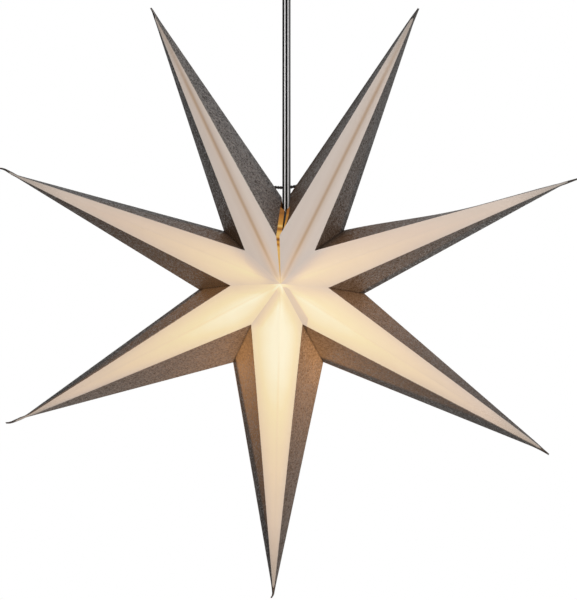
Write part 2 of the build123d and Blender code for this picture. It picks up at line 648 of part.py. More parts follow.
def hub_corner(radius, depth, angle):
    """Where the crease from the tip through a valley vertex meets the hub plane, as (across, depth)."""
    stretch = TIP_RADIUS / (TIP_RADIUS - radius * cos(radians(angle)))
    return stretch * radius * sin(radians(angle)), stretch * depth


def hub_outline(behind_angle, ahead_angle):
    """Eight-sided section of a point at the hub plane, from the angles to its two valleys."""
    ahead_face = hub_corner(FACE_VALLEY_RADIUS, FACE_VALLEY_DEPTH, ahead_angle)
    ahead_side = hub_corner(SIDE_VALLEY_RADIUS, 0, ahead_angle)
    behind_face = hub_corner(FACE_VALLEY_RADIUS, FACE_VALLEY_DEPTH, behind_angle)
    behind_side = hub_corner(SIDE_VALLEY_RADIUS, 0, behind_angle)
    return (
        (0, -HUB_HALF_DEPTH),
        (ahead_face[0], -ahead_face[1]),
        (ahead_side[0], 0),
        (ahead_face[0], ahead_face[1]),
        (0, HUB_HALF_DEPTH),
        (-behind_face[0], behind_face[1]),
        (-behind_side[0], 0),
        (-behind_face[0], -behind_face[1]),
    )


def fold_cone(tip_bearing, outline, set_back):
    """Solid eight-sided cone from the hub plane to the tip, moved towards the hub by a set-back."""
    axis = outward(tip_bearing)
    base = Plane(origin=HUB_CENTRE - axis * set_back, x_dir=clockwise(tip_bearing), z_dir=axis)
    tip = HUB_CENTRE + axis * (TIP_RADIUS - set_back)
    with BuildSketch(base) as section:
        with BuildLine():
            Polyline(*outline, close=True)
        make_face()
    with BuildPart() as cone:
        loft(sections=[section.sketch, Vertex(tip.X, tip.Y, tip.Z)], ruled=True)
    return cone.part


def fold_layer(tip_bearing, outline, behind, ahead, layer):
    """One thickness of paper between a point's two valley planes: layer 0 outside, 1 under it."""
    with BuildPart() as sheet:
        add(fold_cone(tip_bearing, outline, layer * SET_BACK))
        add(fold_cone(tip_bearing, outline, (layer + 1) * SET_BACK), mode=Mode.SUBTRACT)
        split(bisect_by=Plane(origin=HUB_CENTRE, z_dir=clockwise(behind)), keep=Keep.TOP)
        split(bisect_by=Plane(origin=HUB_CENTRE, z_dir=clockwise(ahead)), keep=Keep.BOTTOM)
    return sheet.part


def closing_lap(tip_bearing, under_layer):
    """Lap glued behind the front of the clockwise side crease, along most of the point's length."""
    axis = outward(tip_bearing)
    with BuildPart() as lap:
        add(under_layer)
        split(bisect_by=Plane(origin=HUB_CENTRE, z_dir=clockwise(tip_bearing)), keep=Keep.TOP)
        split(bisect_by=Plane(origin=HUB_CENTRE, z_dir=(0, -1, 0)), keep=Keep.TOP)
        split(bisect_by=Plane(origin=(0, -CLOSING_LAP, HUB), z_dir=(0, 1, 0)), keep=Keep.TOP)
        lap_end = HUB_CENTRE + axis * (TIP_RADIUS - CLOSING_LAP_END)
        split(bisect_by=Plane(origin=lap_end, z_dir=axis), keep=Keep.BOTTOM)
    return lap.part


def joining_tab(ahead, under_layer):
    """Tab glued behind the clockwise edge, where the next point joins."""
    edge_normal = clockwise(ahead)
    tab_line = HUB_CENTRE - edge_normal * JOINING_TAB
    with BuildPart() as tab:
        add(under_layer)
        split(bisect_by=Plane(origin=tab_line, z_dir=edge_normal), keep=Keep.TOP)
    return tab.part


def star_point(tip_bearing, behind, ahead, joined, tied):
    """One folded sheet with its closing lap, its joining tab where it is glued, and its tie hole."""
    outline = hub_outline(tip_bearing - behind, ahead - tip_bearing)
    under_layer = fold_layer(tip_bearing, outline, behind, ahead, 1)
    with BuildPart() as point:
        add(fold_layer(tip_bearing, outline, behind, ahead, 0))
        add(closing_lap(tip_bearing, under_layer))
        if joined:
            add(joining_tab(ahead, under_layer))
        if tied:
            with BuildSketch(Plane.YZ):
                with Locations((TIE_BEHIND, HUB + TIE_HEIGHT)):
                    Circle(TIE_RADIUS + CLEARANCE)
            extrude(amount=TIE_HEIGHT, both=True, mode=Mode.SUBTRACT)
    return point.part


valleys = (SEAM_HALF_ANGLE, *VALLEY_BEARINGS, 360 - SEAM_HALF_ANGLE)
last = len(POINT_NAMES) - 1
for index, name in enumerate(POINT_NAMES):
    sheet = star_point(
        TIP_BEARINGS[index],
        valleys[index],
        valleys[index + 1],
        joined=index < last,
        tied=index in (0, last),
    )
    save(sheet, f"point_{name}")


def knot_place(tip_bearing, valley):
    """Middle of the knot that seats behind a top point's rear flank, on the tie's line."""
    tip = HUB_CENTRE + outward(tip_bearing) * TIP_RADIUS
    side_corner = HUB_CENTRE + outward(valley) * SIDE_VALLEY_RADIUS
    face_corner = HUB_CENTRE + outward(valley) * FACE_VALLEY_RADIUS + Vector(0, FACE_VALLEY_DEPTH, 0)
    flank_normal = (tip - side_corner).cross(face_corner - side_corner).normalized()
    tie_middle = Vector(0, TIE_BEHIND, HUB + TIE_HEIGHT)
    crossing = (side_corner - tie_middle).dot(flank_normal) / flank_normal.X
    seat = (PAPER + CLEARANCE + KNOT_RADIUS) / abs(flank_normal.X)
    return tie_middle + Vector(crossing + copysign(seat, crossing), 0, 0)


# Closing tie: a string behind the flex, with a knot inside each top point
right_knot = knot_place(TIP_BEARINGS[0], valleys[0])
left_knot = knot_place(TIP_BEARINGS[last], valleys[last + 1])
tie_length = right_knot.X - left_knot.X
with BuildPart() as closing_tie:
    with BuildSketch(Plane(origin=left_knot, x_dir=(1, 0, 0), z_dir=(0, -1, 0))):
        with Locations((0, 0), (tie_length, 0)):
            Circle(KNOT_RADIUS)
        Rectangle(tie_length, TIE_RADIUS, align=(Align.MIN, Align.MIN))
        with Locations((tie_length / 2, 0)):
            Rectangle(2 * tie_length, 2 * KNOT_RADIUS, align=(Align.CENTER, Align.MAX), mode=Mode.SUBTRACT)
    revolve(axis=Axis(left_knot, (1, 0, 0)))
save(closing_tie.part, "closing_tie")
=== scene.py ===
"""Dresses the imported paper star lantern: folded paper, twin flex, lamp holder and ceiling fitting."""

import json
import logging
import math
from dataclasses import dataclass
from enum import Enum, IntEnum

import bpy
import numpy as np
from bpy.types import Material, NodeSocket, Object, World
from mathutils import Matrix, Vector, noise

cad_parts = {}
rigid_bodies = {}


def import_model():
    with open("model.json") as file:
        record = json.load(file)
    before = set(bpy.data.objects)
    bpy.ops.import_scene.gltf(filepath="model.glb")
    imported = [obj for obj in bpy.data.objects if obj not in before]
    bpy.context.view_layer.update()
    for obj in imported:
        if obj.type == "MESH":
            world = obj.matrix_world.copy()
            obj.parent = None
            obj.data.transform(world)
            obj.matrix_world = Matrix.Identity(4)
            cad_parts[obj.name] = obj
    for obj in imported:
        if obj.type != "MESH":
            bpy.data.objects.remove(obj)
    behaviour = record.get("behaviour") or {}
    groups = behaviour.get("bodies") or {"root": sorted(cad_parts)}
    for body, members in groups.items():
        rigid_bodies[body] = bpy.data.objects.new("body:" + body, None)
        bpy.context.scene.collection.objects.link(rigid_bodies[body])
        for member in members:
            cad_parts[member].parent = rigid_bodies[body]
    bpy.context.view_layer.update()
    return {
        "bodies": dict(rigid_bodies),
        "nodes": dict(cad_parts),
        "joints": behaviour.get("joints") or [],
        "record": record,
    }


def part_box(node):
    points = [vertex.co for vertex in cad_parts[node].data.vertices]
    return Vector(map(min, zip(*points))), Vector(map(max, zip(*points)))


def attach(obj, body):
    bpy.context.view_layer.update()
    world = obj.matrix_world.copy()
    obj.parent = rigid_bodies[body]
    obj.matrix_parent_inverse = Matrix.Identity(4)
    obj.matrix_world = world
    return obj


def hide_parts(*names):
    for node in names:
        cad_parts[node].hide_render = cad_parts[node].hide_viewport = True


LOG = logging.getLogger("paper_star_lantern")
MM = 0.001
IMAGE_HEIGHT_PX = 600
IMAGE_MIDDLE_PX = (288.5, 300.0)
BLACK = "#000000"
WHITE = "#ffffff"
# Middle of the colours that a cell texture gives
MIDDLE = (0.5, 0.5, 0.5)
# Folds sharper than this keep a hard edge
SHARP_DEGREES = 50.0
# A route whose direction has more of X than this counts as level
LEVEL_SHARE = 0.9
# Keeps a division from meeting 0, in millimetres
TINY = 1e-6

Array = np.ndarray
Pair = tuple[float, float]
Triple = tuple[float, float, float]
Marks = dict[str, NodeSocket]
# Positions along a colour ramp, each with its colour
Ramp = tuple[tuple[float, str], ...]
# A range and what it turns into: from low, from high, to low, to high
Span = tuple[float, float, float, float]

# What each vertex of a sheet tells its finish, up to three numbers in a mesh attribute
MARKS = {
    # Millimetres from the centre ridge, from the fold beside the print and from the lap's crease
    "fold": ("ridge", "edge", "lap"),
    # Millimetres from the valley and along it, and the light that arrives
    "valley": ("gap", "run", "light"),
    # Strength of the painted shade along the centre crease, shade of the joining tab and place along the
    # point
    "ply": ("crease", "tab", "along"),
    # Painted light and shade of each flank as a tone on the print, millimetres inside the print's edge and
    # how much it sparkles
    "print": ("tone", "print_edge", "sparkle"),
    # Softness of the tab's edge and distance from the joint between two flanks, in millimetres
    "joint": ("tab_edge", "joint"),
}


class Body(Enum):
    """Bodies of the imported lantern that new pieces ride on."""

    PENDANT = "pendant"
    STAR = "star"


class Side(Enum):
    """The two sides of a folded sheet, as material slots of its mesh."""

    OUTSIDE = 0
    INSIDE = 1


class Seam(Enum):
    """Which edge of a sheet lies at the star's open seam."""

    NONE = "none"
    BEHIND = "behind"
    AHEAD = "ahead"


class Corner(IntEnum):
    """Ends of a sheet's folds at the hub, clockwise. A panel has the number of its first corner."""

    FRONT_HUB = 0
    AHEAD_FRONT = 1
    AHEAD_SIDE = 2
    AHEAD_BACK = 3
    BACK_HUB = 4
    BEHIND_BACK = 5
    BEHIND_SIDE = 6
    BEHIND_FRONT = 7


PRINTED_PANELS = (Corner.AHEAD_FRONT, Corner.AHEAD_SIDE, Corner.BEHIND_BACK, Corner.BEHIND_SIDE)
FRONT_PANELS = (Corner.FRONT_HUB, Corner.AHEAD_FRONT, Corner.BEHIND_SIDE, Corner.BEHIND_FRONT)


def linear(hex_colour: str) -> tuple[float, float, float, float]:
    """Turn an sRGB hex colour into linear RGBA.

    Args:
        hex_colour: Colour such as "#c9beb2".

    Returns:
        Linear red, green, blue and an alpha of 1.
    """
    parts = [int(hex_colour[i:i + 2], 16) / 255 for i in (1, 3, 5)]
    curve = [p / 12.92 if p <= 0.04045 else ((p + 0.055) / 1.055) ** 2.4 for p in parts]
    return (curve[0], curve[1], curve[2], 1.0)


def per_mm(size_mm: float) -> float:
    """Texture scale, in repeats per metre, of a pattern of a size in millimetres."""
    return 1 / (size_mm * MM)


class NodeGraph:
    """Nodes of one material or of the world."""

    def __init__(self, owner: Material | World) -> None:
        """Start with an empty tree.

        Args:
            owner: Material or world that holds the tree.
        """
        owner.use_nodes = True
        self.owner = owner
        self.tree = owner.node_tree
        self.tree.nodes.clear()

    def add(self, kind: str, inputs: dict | tuple = (), output: str | None = None,
            **settings: str | bool) -> NodeSocket:
        """Add a node, set its properties and fill or link its inputs.

        Args:
            kind: Node type without its prefix, such as "Math".
            inputs: Values, hex colours or sockets, by input name or in the order of the inputs in use.
            output: Output that is wanted, by default the first one in use.
            settings: Properties of the node.

        Returns:
            The output socket, or None from a node without outputs.
        """
        node = self.tree.nodes.new("ShaderNode" + kind)
        for name, value in settings.items():
            setattr(node, name, value)
        if isinstance(inputs, dict):
            pairs = [(node.inputs[name], value) for name, value in inputs.items()]
        else:
            pairs = list(zip([socket for socket in node.inputs if socket.enabled], inputs))
        for socket, value in pairs:
            if isinstance(value, NodeSocket):
                self.tree.links.new(value, socket)
            else:
                socket.default_value = linear(value) if isinstance(value, str) else value
        if output:
            return node.outputs[output]
        return next((socket for socket in node.outputs if socket.enabled), None)

    def marks(self, *attributes: str) -> Marks:
        """Read what the vertices of a sheet tell its finish.

        Args:
            attributes: Names of mesh attributes.

        Returns:
            Sockets by mark.
        """
        found = {}
        for attribute in attributes:
            vector = self.add("Attribute", output="Vector", attribute_name=attribute)
            found.update(zip(MARKS[attribute], self.add("SeparateXYZ", (vector,)).node.outputs))
        return found

    def seen(self) -> NodeSocket:
        """Tell rays that show in the picture from rays that only light it.

        Returns:
            1 from the camera, in reflections and through glass, and otherwise 0.
        """
        rays = self.add("LightPath").node.outputs
        either = self.add("Math", (rays["Is Camera Ray"], rays["Is Glossy Ray"]), operation="MAXIMUM")
        return self.add("Math", (either, rays["Is Transmission Ray"]), operation="MAXIMUM")

    def ramp(self, share: NodeSocket, stops: Ramp) -> NodeSocket:
        """Turn a share into a colour.

        Args:
            share: Socket with a value from 0 to 1.
            stops: Positions with hex colours, in order.

        Returns:
            Colour socket.
        """
        colour = self.add("ValToRGB", (share,))
        elements = colour.node.color_ramp.elements
        while len(elements) < len(stops):
            elements.new(0.5)
        for element, (position, hex_colour) in zip(elements, stops):
            element.position = position
            element.color = linear(hex_colour)
        return colour

    def surface(self, looks: dict) -> Material:
        """Close a material with its shader.

        Args:
            looks: Values, hex colours or sockets of the Principled shader by input name.

        Returns:
            The finished material.
        """
        self.add("OutputMaterial", {"Surface": self.add("BsdfPrincipled", looks)})
        return self.owner


@dataclass(frozen=True)
class PrintedPaper:
    """Matt white star paper with glitter ink printed on its flanks, lit through by the bulb."""

    # Uncoated paper: the eye sees a soft warm white with faint streaks along the fold; a painted shade greys
    # it towards the tip
    white: str = "#d8ccc3"
    white_streak: str = "#cec1b8"
    streak_mm: float = 9.0
    tip_shade_grey: str = "#9c9894"
    tip_shading: Span = (0.76, 1.0, 0.0, 1.0)
    paper_roughness: float = 0.88
    paper_specular: float = 0.4
    fibre_mm: float = 1.6
    fibre_relief_mm: float = 0.1
    fibre_strength: float = 0.25
    # Painted shade along the centre crease, by millimetres from the ridge, and how it comes and goes along
    # the point
    crease: str = "#b0957d"
    crease_core: Span = (0.0, 2.2, 0.6, 0.0)
    crease_side: Span = (0.0, 7.0, 0.3, 0.0)
    crease_start: Span = (0.0, 0.15, 0.3, 1.0)
    crease_end: Span = (0.7, 0.97, 1.0, 0.2)
    # Glitter ink: the eye sees dark silver flakes, some of which catch the light
    flake_dark: str = "#322f2d"
    flake_light: str = "#706b68"
    # Such flakes are typically about 0.2 mm; they are drawn at 1 mm, as coarse as they need to show
    flake_mm: float = 1.0
    flake_contrast: float = 1.4
    flake_middle: float = 0.42
    flake_tilt: float = 0.55
    flake_roughness: Span = (0.0, 1.0, 0.35, 0.75)
    # Metal and sheen by the flank's tone, which is painted light and shade
    metal: Span = (0.1, 0.4, 0.08, 0.45)
    sheen: Span = (0.15, 0.4, 0.07, 0.15)
    # Ragged edge of the print, wear beside its fold and the dark joint between flanks, in millimetres
    ragged: Span = (0.0, 1.0, -0.35, 0.35)
    print_edge: Span = (-0.2, 0.2, 0.0, 1.0)
    fold_wear: str = "#7d7771"
    wear: Span = (0.0, 0.5, 0.8, 0.0)
    joint_line: Span = (0.3, 1.4, 0.6, 1.0)
    # Joining tab: slope and start of its bevelled ends along the valley, width, fade and depth of shade
    tab_bevels: tuple[Pair, Pair] = ((1.6, -1.0), (-0.9, 34.5))
    tab_mm: float = 6.0
    tab_fade: float = -0.5
    tab_shade: float = 0.5
    # Closing lap: width along the point, and shade across its soft edge, in millimetres
    lap_width: Span = (0.2, 0.6, 7.2, 12.0)
    lap_shade: Span = (-2.2, 2.2, 0.8, 0.0)
    # Light through the paper, from faint amber to the pale yellow in front of the bulb
    glow: Ramp = ((0.0, "#000000"), (0.2, "#6b4a12"), (0.42, "#94752f"), (0.7, "#a8933f"), (0.92, "#b4ae84"))
    glow_full: float = 1.2
    cloud_mm: float = 14.0
    cloud_detail: float = 3.0
    cloud_light: Span = (0.0, 1.0, 0.94, 1.06)
    # Painted shade along the centre ridge
    ridge_light: Span = (0.3, 1.3, 0.92, 1.0)
    ink_glow: str = "#9a6c42"
    flake_glow: Span = (0.0, 1.0, 0.7, 1.3)

    def build(self) -> Material:
        """Make the material for the outside of the sheets.

        Returns:
            The printed paper.
        """
        graph = NodeGraph(bpy.data.materials.new("printed_star_paper"))
        marks = graph.marks(*MARKS)
        place = graph.add("TexCoord", output="Object")
        flakes = graph.add("TexVoronoi", {"Vector": place, "Scale": per_mm(self.flake_mm)}, output="Color")
        flake = graph.add("SeparateColor", (flakes,))
        marks["shade"] = graph.add("MapRange", (marks["joint"], *self.joint_line))
        printed = self.printed_share(graph, place, marks)
        white, ink = self.white_paper(graph, marks), self.glitter_ink(graph, marks, flake)
        light = self.light_through(graph, place, marks)
        rough = graph.add("MapRange", (flake, *self.flake_roughness))
        metal = graph.add("MapRange", (marks["tone"], *self.metal))
        sheen = graph.add("MapRange", (marks["tone"], *self.sheen))
        fibre = graph.add("TexNoise", {"Vector": place, "Scale": per_mm(self.fibre_mm)})
        bump = graph.add("Bump", {
            "Height": fibre, "Strength": self.fibre_strength, "Distance": self.fibre_relief_mm * MM})
        tilt = graph.add("VectorMath", (flakes, MIDDLE), operation="SUBTRACT")
        share = printed
        for factor in (self.flake_tilt, marks["sparkle"]):
            share = graph.add("Math", (share, factor), operation="MULTIPLY")
        lean = graph.add("VectorMath", (tilt, share), operation="SCALE")
        facing = graph.add("VectorMath", (bump, lean))
        return graph.surface({
            "Base Color": graph.add("Mix", (printed, white, ink), data_type="RGBA"),
            "Roughness": graph.add("Mix", (printed, self.paper_roughness, rough)),
            "Metallic": graph.add("Math", (printed, metal), operation="MULTIPLY"),
            "Specular IOR Level": graph.add("Mix", (printed, self.paper_specular, sheen)),
            "Normal": graph.add("VectorMath", (facing,), operation="NORMALIZE"),
            "Emission Color": self.glow_colour(graph, marks, light, flake, printed),
            "Emission Strength": 1.0,
        })

    def white_paper(self, graph: NodeGraph, marks: Marks) -> NodeSocket:
        """Colour of the unprinted band, with streaks, painted shade along the centre crease and painted
        shade that greys it towards the tip.

        Args:
            graph: Nodes of the material.
            marks: What the vertices tell.

        Returns:
            Colour socket.
        """
        across = graph.add("CombineXYZ", (marks["ridge"], marks["crease"]))
        streak = graph.add("TexNoise", {"Vector": across, "Scale": 1 / self.streak_mm})
        paper = graph.add("Mix", (streak, self.white, self.white_streak), data_type="RGBA")
        # Painted shade: greyer towards the tip
        tip_shaded = graph.add("MapRange", (marks["along"], *self.tip_shading))
        paper = graph.add("Mix", (tip_shaded, paper, self.tip_shade_grey), data_type="RGBA")
        # Painted shade along the centre crease, darkest on the ridge
        distance = graph.add("Math", (marks["ridge"],), operation="ABSOLUTE")
        core, side = (
            graph.add("MapRange", (distance, *span), interpolation_type="SMOOTHSTEP")
            for span in (self.crease_core, self.crease_side)
        )
        groove = graph.add("Math", (core, side))
        for span in (self.crease_start, self.crease_end):
            share = graph.add("MapRange", (marks["along"], *span))
            groove = graph.add("Math", (groove, share), operation="MULTIPLY")
        groove = graph.add("Math", (groove, marks["crease"]), operation="MULTIPLY")
        return graph.add("Mix", (groove, paper, self.crease), data_type="RGBA")

    def glitter_ink(self, graph: NodeGraph, marks: Marks, flake: NodeSocket) -> NodeSocket:
        """Colour of the glitter print, with each flank's painted light and shade.

        Args:
            graph: Nodes of the material.
            marks: What the vertices tell.
            flake: Value that differs from flake to flake.

        Returns:
            Colour socket.
        """
        tone = graph.add("Math", (flake, self.flake_contrast), operation="POWER")
        tone = graph.add("Math", (tone, self.flake_middle), operation="SUBTRACT")
        tone = graph.add("Math", (tone, marks["sparkle"], self.flake_middle), operation="MULTIPLY_ADD")
        ink = graph.add("Mix", (tone, self.flake_dark, self.flake_light), data_type="RGBA")
        # Painted light and shade: each flank's tone makes its ink darker or lighter
        depth = graph.add("Math", (marks["tone"], marks["shade"]), operation="MULTIPLY")
        ink = graph.add("Mix", (1.0, ink, depth), data_type="RGBA", blend_type="MULTIPLY")
        beside = graph.add("Math", (marks["edge"],), operation="ABSOLUTE")
        wear = graph.add("MapRange", (beside, *self.wear))
        return graph.add("Mix", (wear, ink, self.fold_wear), data_type="RGBA")

    def printed_share(self, graph: NodeGraph, place: NodeSocket, marks: Marks) -> NodeSocket:
        """Where the glitter is printed, with an edge that is ragged by a flake's width.

        Args:
            graph: Nodes of the material.
            place: Object coordinates.
            marks: What the vertices tell.

        Returns:
            1 on the print and 0 on the bare paper.
        """
        ragged = graph.add("TexNoise", {"Vector": place, "Scale": per_mm(self.flake_mm)})
        shift = graph.add("MapRange", (ragged, *self.ragged))
        edge = graph.add("Math", (marks["print_edge"], shift))
        return graph.add("MapRange", (edge, *self.print_edge))

    def light_through(self, graph: NodeGraph, place: NodeSocket, marks: Marks) -> NodeSocket:
        """Light of the bulb in the paper, less of it where two layers are glued, with painted shade along
        the centre ridge.

        Args:
            graph: Nodes of the material.
            place: Object coordinates.
            marks: What the vertices tell.

        Returns:
            Value socket.
        """
        inner, outer = (
            graph.add("Math", (marks["run"], *bevel), operation="MULTIPLY_ADD") for bevel in self.tab_bevels
        )
        width = graph.add("Math", (inner, outer), operation="MINIMUM")
        width = graph.add("Math", (width, self.tab_mm), operation="MINIMUM")
        inside = graph.add("Math", (width, marks["gap"]), operation="SUBTRACT")
        start = graph.add("Math", (marks["tab_edge"], self.tab_fade), operation="MULTIPLY")
        tab = graph.add("MapRange", (inside, start, marks["tab_edge"], 0.0, self.tab_shade))
        tab = graph.add("Math", (tab, marks["tab"]), operation="MULTIPLY")
        width = graph.add("MapRange", (marks["along"], *self.lap_width))
        past = graph.add("Math", (marks["lap"], width), operation="SUBTRACT")
        lap = graph.add("MapRange", (past, *self.lap_shade))
        layers = graph.add("Math", (tab, lap), operation="MAXIMUM")
        single = graph.add("Math", (1.0, layers), operation="SUBTRACT")
        cloud = graph.add("TexNoise", {
            "Vector": place, "Scale": per_mm(self.cloud_mm), "Detail": self.cloud_detail})
        mottle = graph.add("MapRange", (cloud, *self.cloud_light))
        # Painted shade: a little less light along the centre ridge
        ridge = graph.add("Math", (marks["ridge"],), operation="ABSOLUTE")
        ridge_shade = graph.add("MapRange", (ridge, *self.ridge_light))
        light = marks["light"]
        for share in (single, mottle, ridge_shade):
            light = graph.add("Math", (light, share), operation="MULTIPLY")
        return light

    def glow_colour(self, graph: NodeGraph, marks: Marks, light: NodeSocket, flake: NodeSocket,
                    printed: NodeSocket) -> NodeSocket:
        """Colour of the light that comes through, browner and speckled through the ink.

        Args:
            graph: Nodes of the material.
            marks: What the vertices tell.
            light: Light in the paper.
            flake: Value that differs from flake to flake.
            printed: Share of print.

        Returns:
            Emission colour socket.
        """
        paper = graph.ramp(graph.add("Math", (light, self.glow_full), operation="DIVIDE"), self.glow)
        for share in (graph.add("MapRange", (flake, *self.flake_glow)), marks["shade"]):
            light = graph.add("Math", (light, share), operation="MULTIPLY")
        ink = graph.add("Mix", (light, BLACK, self.ink_glow), data_type="RGBA", clamp_factor=False)
        return graph.add("Mix", (printed, paper, ink), data_type="RGBA")


@dataclass(frozen=True)
class InnerPaper:
    """Bare inner side of the star paper, lit directly by the bulb."""

    # The paper is white; its dark amber base colour is painted bulb light and the shade inside the star, and
    # its glow is brighter towards the bulb
    white: str = "#64431f"
    glow: Ramp = ((0.0, "#1c1208"), (0.35, "#8a5416"), (0.7, "#b98a3a"), (1.0, "#d8be7c"))
    glow_full: float = 1.2
    fibre_mm: float = 1.6
    fibre_light: Span = (0.0, 1.0, 0.85, 1.15)
    fibre_relief_mm: float = 0.1
    fibre_strength: float = 0.2
    roughness: float = 0.9

    def build(self) -> Material:
        """Make the material for the inside of the sheets.

        Returns:
            The bare paper.
        """
        graph = NodeGraph(bpy.data.materials.new("bare_star_paper"))
        place = graph.add("TexCoord", output="Object")
        fibre = graph.add("TexNoise", {"Vector": place, "Scale": per_mm(self.fibre_mm)})
        varied = graph.add("MapRange", (fibre, *self.fibre_light))
        light = graph.add("Math", (graph.marks("valley")["light"], varied), operation="MULTIPLY")
        share = graph.add("Math", (light, self.glow_full), operation="DIVIDE")
        bump = graph.add("Bump", {
            "Height": fibre, "Strength": self.fibre_strength, "Distance": self.fibre_relief_mm * MM})
        return graph.surface({
            "Base Color": self.white, "Roughness": self.roughness, "Normal": bump,
            "Emission Color": graph.ramp(share, self.glow), "Emission Strength": 1.0,
        })


@dataclass(frozen=True)
class Moulded:
    """Moulded or coated surface: one colour that varies a little, with a fine grain."""

    name: str
    colour: str
    colour_worn: str
    roughness: float
    grain_mm: float
    ior: float = 1.5
    coat: float = 0.0
    coat_roughness: float = 0.06
    metallic: float = 0.0
    relief_mm: float = 0.02
    relief_strength: float = 0.3
    cloud_mm: float = 12.0
    cloud_detail: float = 4.0
    spread: Pair = (0.8, 1.2)

    def build(self) -> Material:
        """Make the material.

        Returns:
            The moulded or coated material.
        """
        graph = NodeGraph(bpy.data.materials.new(self.name))
        place = graph.add("TexCoord", output="Object")
        cloud = graph.add("TexNoise", {
            "Vector": place, "Scale": per_mm(self.cloud_mm), "Detail": self.cloud_detail})
        grain = graph.add("TexNoise", {"Vector": place, "Scale": per_mm(self.grain_mm)})
        smooth, rough = (self.roughness * share for share in self.spread)
        looks = {
            "Base Color": graph.add("Mix", (cloud, self.colour, self.colour_worn), data_type="RGBA"),
            "Roughness": graph.add("MapRange", (grain, 0.0, 1.0, smooth, rough)),
            "Normal": graph.add("Bump", {
                "Height": grain, "Strength": self.relief_strength, "Distance": self.relief_mm * MM}),
            "Metallic": self.metallic, "Coat Weight": self.coat, "Coat Roughness": self.coat_roughness,
        }
        if not self.metallic:
            looks["IOR"] = self.ior
        return graph.surface(looks)


@dataclass(frozen=True)
class ExtrudedFlex:
    """Smoke-clear PVC extruded over two tinned cores."""

    # Painted highlights: a pale line down each core between glossy black, and a painted grey reflection on
    # one core's side
    edge: str = "#060607"
    painted_highlight: str = "#fbf9f9"
    highlight_grain_mm: float = 2.0
    highlight_grain: Span = (0.0, 1.0, 0.94, 1.0)
    roughness: float = 0.22
    ior: float = 1.53
    specular: float = 0.08

    def build(self) -> Material:
        """Make the material.

        Returns:
            The flex.
        """
        graph = NodeGraph(bpy.data.materials.new("smoke_flex_pvc"))
        # Painted highlights and the grey reflection, as a share per outline point
        core = graph.add("Attribute", output="Fac", attribute_name="core")
        place = graph.add("TexCoord", output="Object")
        lay = graph.add("TexNoise", {"Vector": place, "Scale": per_mm(self.highlight_grain_mm)})
        varied = graph.add("MapRange", (lay, *self.highlight_grain))
        share = graph.add("Math", (core, varied), operation="MULTIPLY")
        return graph.surface({
            "Base Color": graph.add("Mix", (share, self.edge, self.painted_highlight), data_type="RGBA"),
            "Roughness": self.roughness, "IOR": self.ior, "Specular IOR Level": self.specular,
        })


@dataclass(frozen=True)
class BlownGlass:
    """Clear blown bulb glass with a faint warm cast."""

    # The eye sees thin clear glass that shows mostly by its reflections
    colour: str = "#fbf3e6"
    ripple_mm: float = 9.0
    roughness: Span = (0.0, 1.0, 0.01, 0.05)
    ior: float = 1.5

    def build(self) -> Material:
        """Make the material.

        Returns:
            The glass.
        """
        graph = NodeGraph(bpy.data.materials.new("blown_bulb_glass"))
        place = graph.add("TexCoord", output="Object")
        ripple = graph.add("TexNoise", {"Vector": place, "Scale": per_mm(self.ripple_mm)})
        return graph.surface({
            "Base Color": self.colour, "IOR": self.ior, "Transmission Weight": 1.0,
            "Roughness": graph.add("MapRange", (ripple, *self.roughness)),
        })


@dataclass(frozen=True)
class LitPhosphor:
    """Phosphor coating of the lit filament sticks."""

    # The eye sees an even, warm glow with faint beads along the stick
    colour: str = "#f4c070"
    light: str = "#ffc36b"
    bead_mm: float = 7.54
    # A wave texture of scale 1 turns through this angle in a metre
    wave_radians: float = 20.0
    strength: Span = (0.0, 1.0, 2.0, 4.0)
    roughness: float = 0.7

    def build(self) -> Material:
        """Make the material.

        Returns:
            The lit phosphor.
        """
        graph = NodeGraph(bpy.data.materials.new("lit_phosphor"))
        place = graph.add("TexCoord", output="Object")
        scale = per_mm(self.bead_mm) * math.tau / self.wave_radians
        bead = graph.add("TexWave", {"Vector": place, "Scale": scale}, output="Fac", bands_direction="Z")
        return graph.surface({
            "Base Color": self.colour, "Roughness": self.roughness, "Emission Color": self.light,
            "Emission Strength": graph.add("MapRange", (bead, *self.strength)),
        })


@dataclass(frozen=True)
class FloorPaint:
    """Matt painted board under the lantern."""

    # The eye sees a pale floor with a very faint mottle, on which the shadow stays soft
    colour: str = "#f4f3f1"
    mottle: str = "#efeeec"
    mottle_mm: float = 220.0
    mottle_detail: float = 4.0
    lift: float = 0.34
    roughness: float = 0.9

    def build(self) -> Material:
        """Make the material, paler to the camera and in reflections than the lamps alone make it.

        Returns:
            The floor paint.
        """
        graph = NodeGraph(bpy.data.materials.new("matt_floor_paint"))
        place = graph.add("TexCoord", output="Object")
        cloud = graph.add("TexNoise", {
            "Vector": place, "Scale": per_mm(self.mottle_mm), "Detail": self.mottle_detail})
        colour = graph.add("Mix", (cloud, self.colour, self.mottle), data_type="RGBA")
        return graph.surface({
            "Base Color": colour, "Roughness": self.roughness, "Emission Color": colour,
            "Emission Strength": graph.add("Math", (graph.seen(), self.lift), operation="MULTIPLY"),
        })


FLEX_PVC = ExtrudedFlex()
# Thermoset holder plastic, moulded: black with a soft sheen
HOLDER_PLASTIC = Moulded("black_holder_thermoset", "#121212", "#1a1a1b", 0.42, 0.8, ior=1.55)
# Nylon, moulded: near black and slightly waxy
GRIP_NYLON = Moulded("black_nylon", "#151516", "#1e1e1f", 0.5, 0.6, ior=1.53)
# Nylon without pigment: milky
BLOCK_NYLON = Moulded("natural_nylon", "#e2dfd6", "#d6d2c7", 0.48, 0.7, ior=1.53)
# Steatite, fired without glaze: cream and chalky
STEATITE = Moulded("unglazed_steatite", "#e3ddcf", "#d3ccbc", 0.75, 0.5, ior=1.6, relief_mm=0.04)
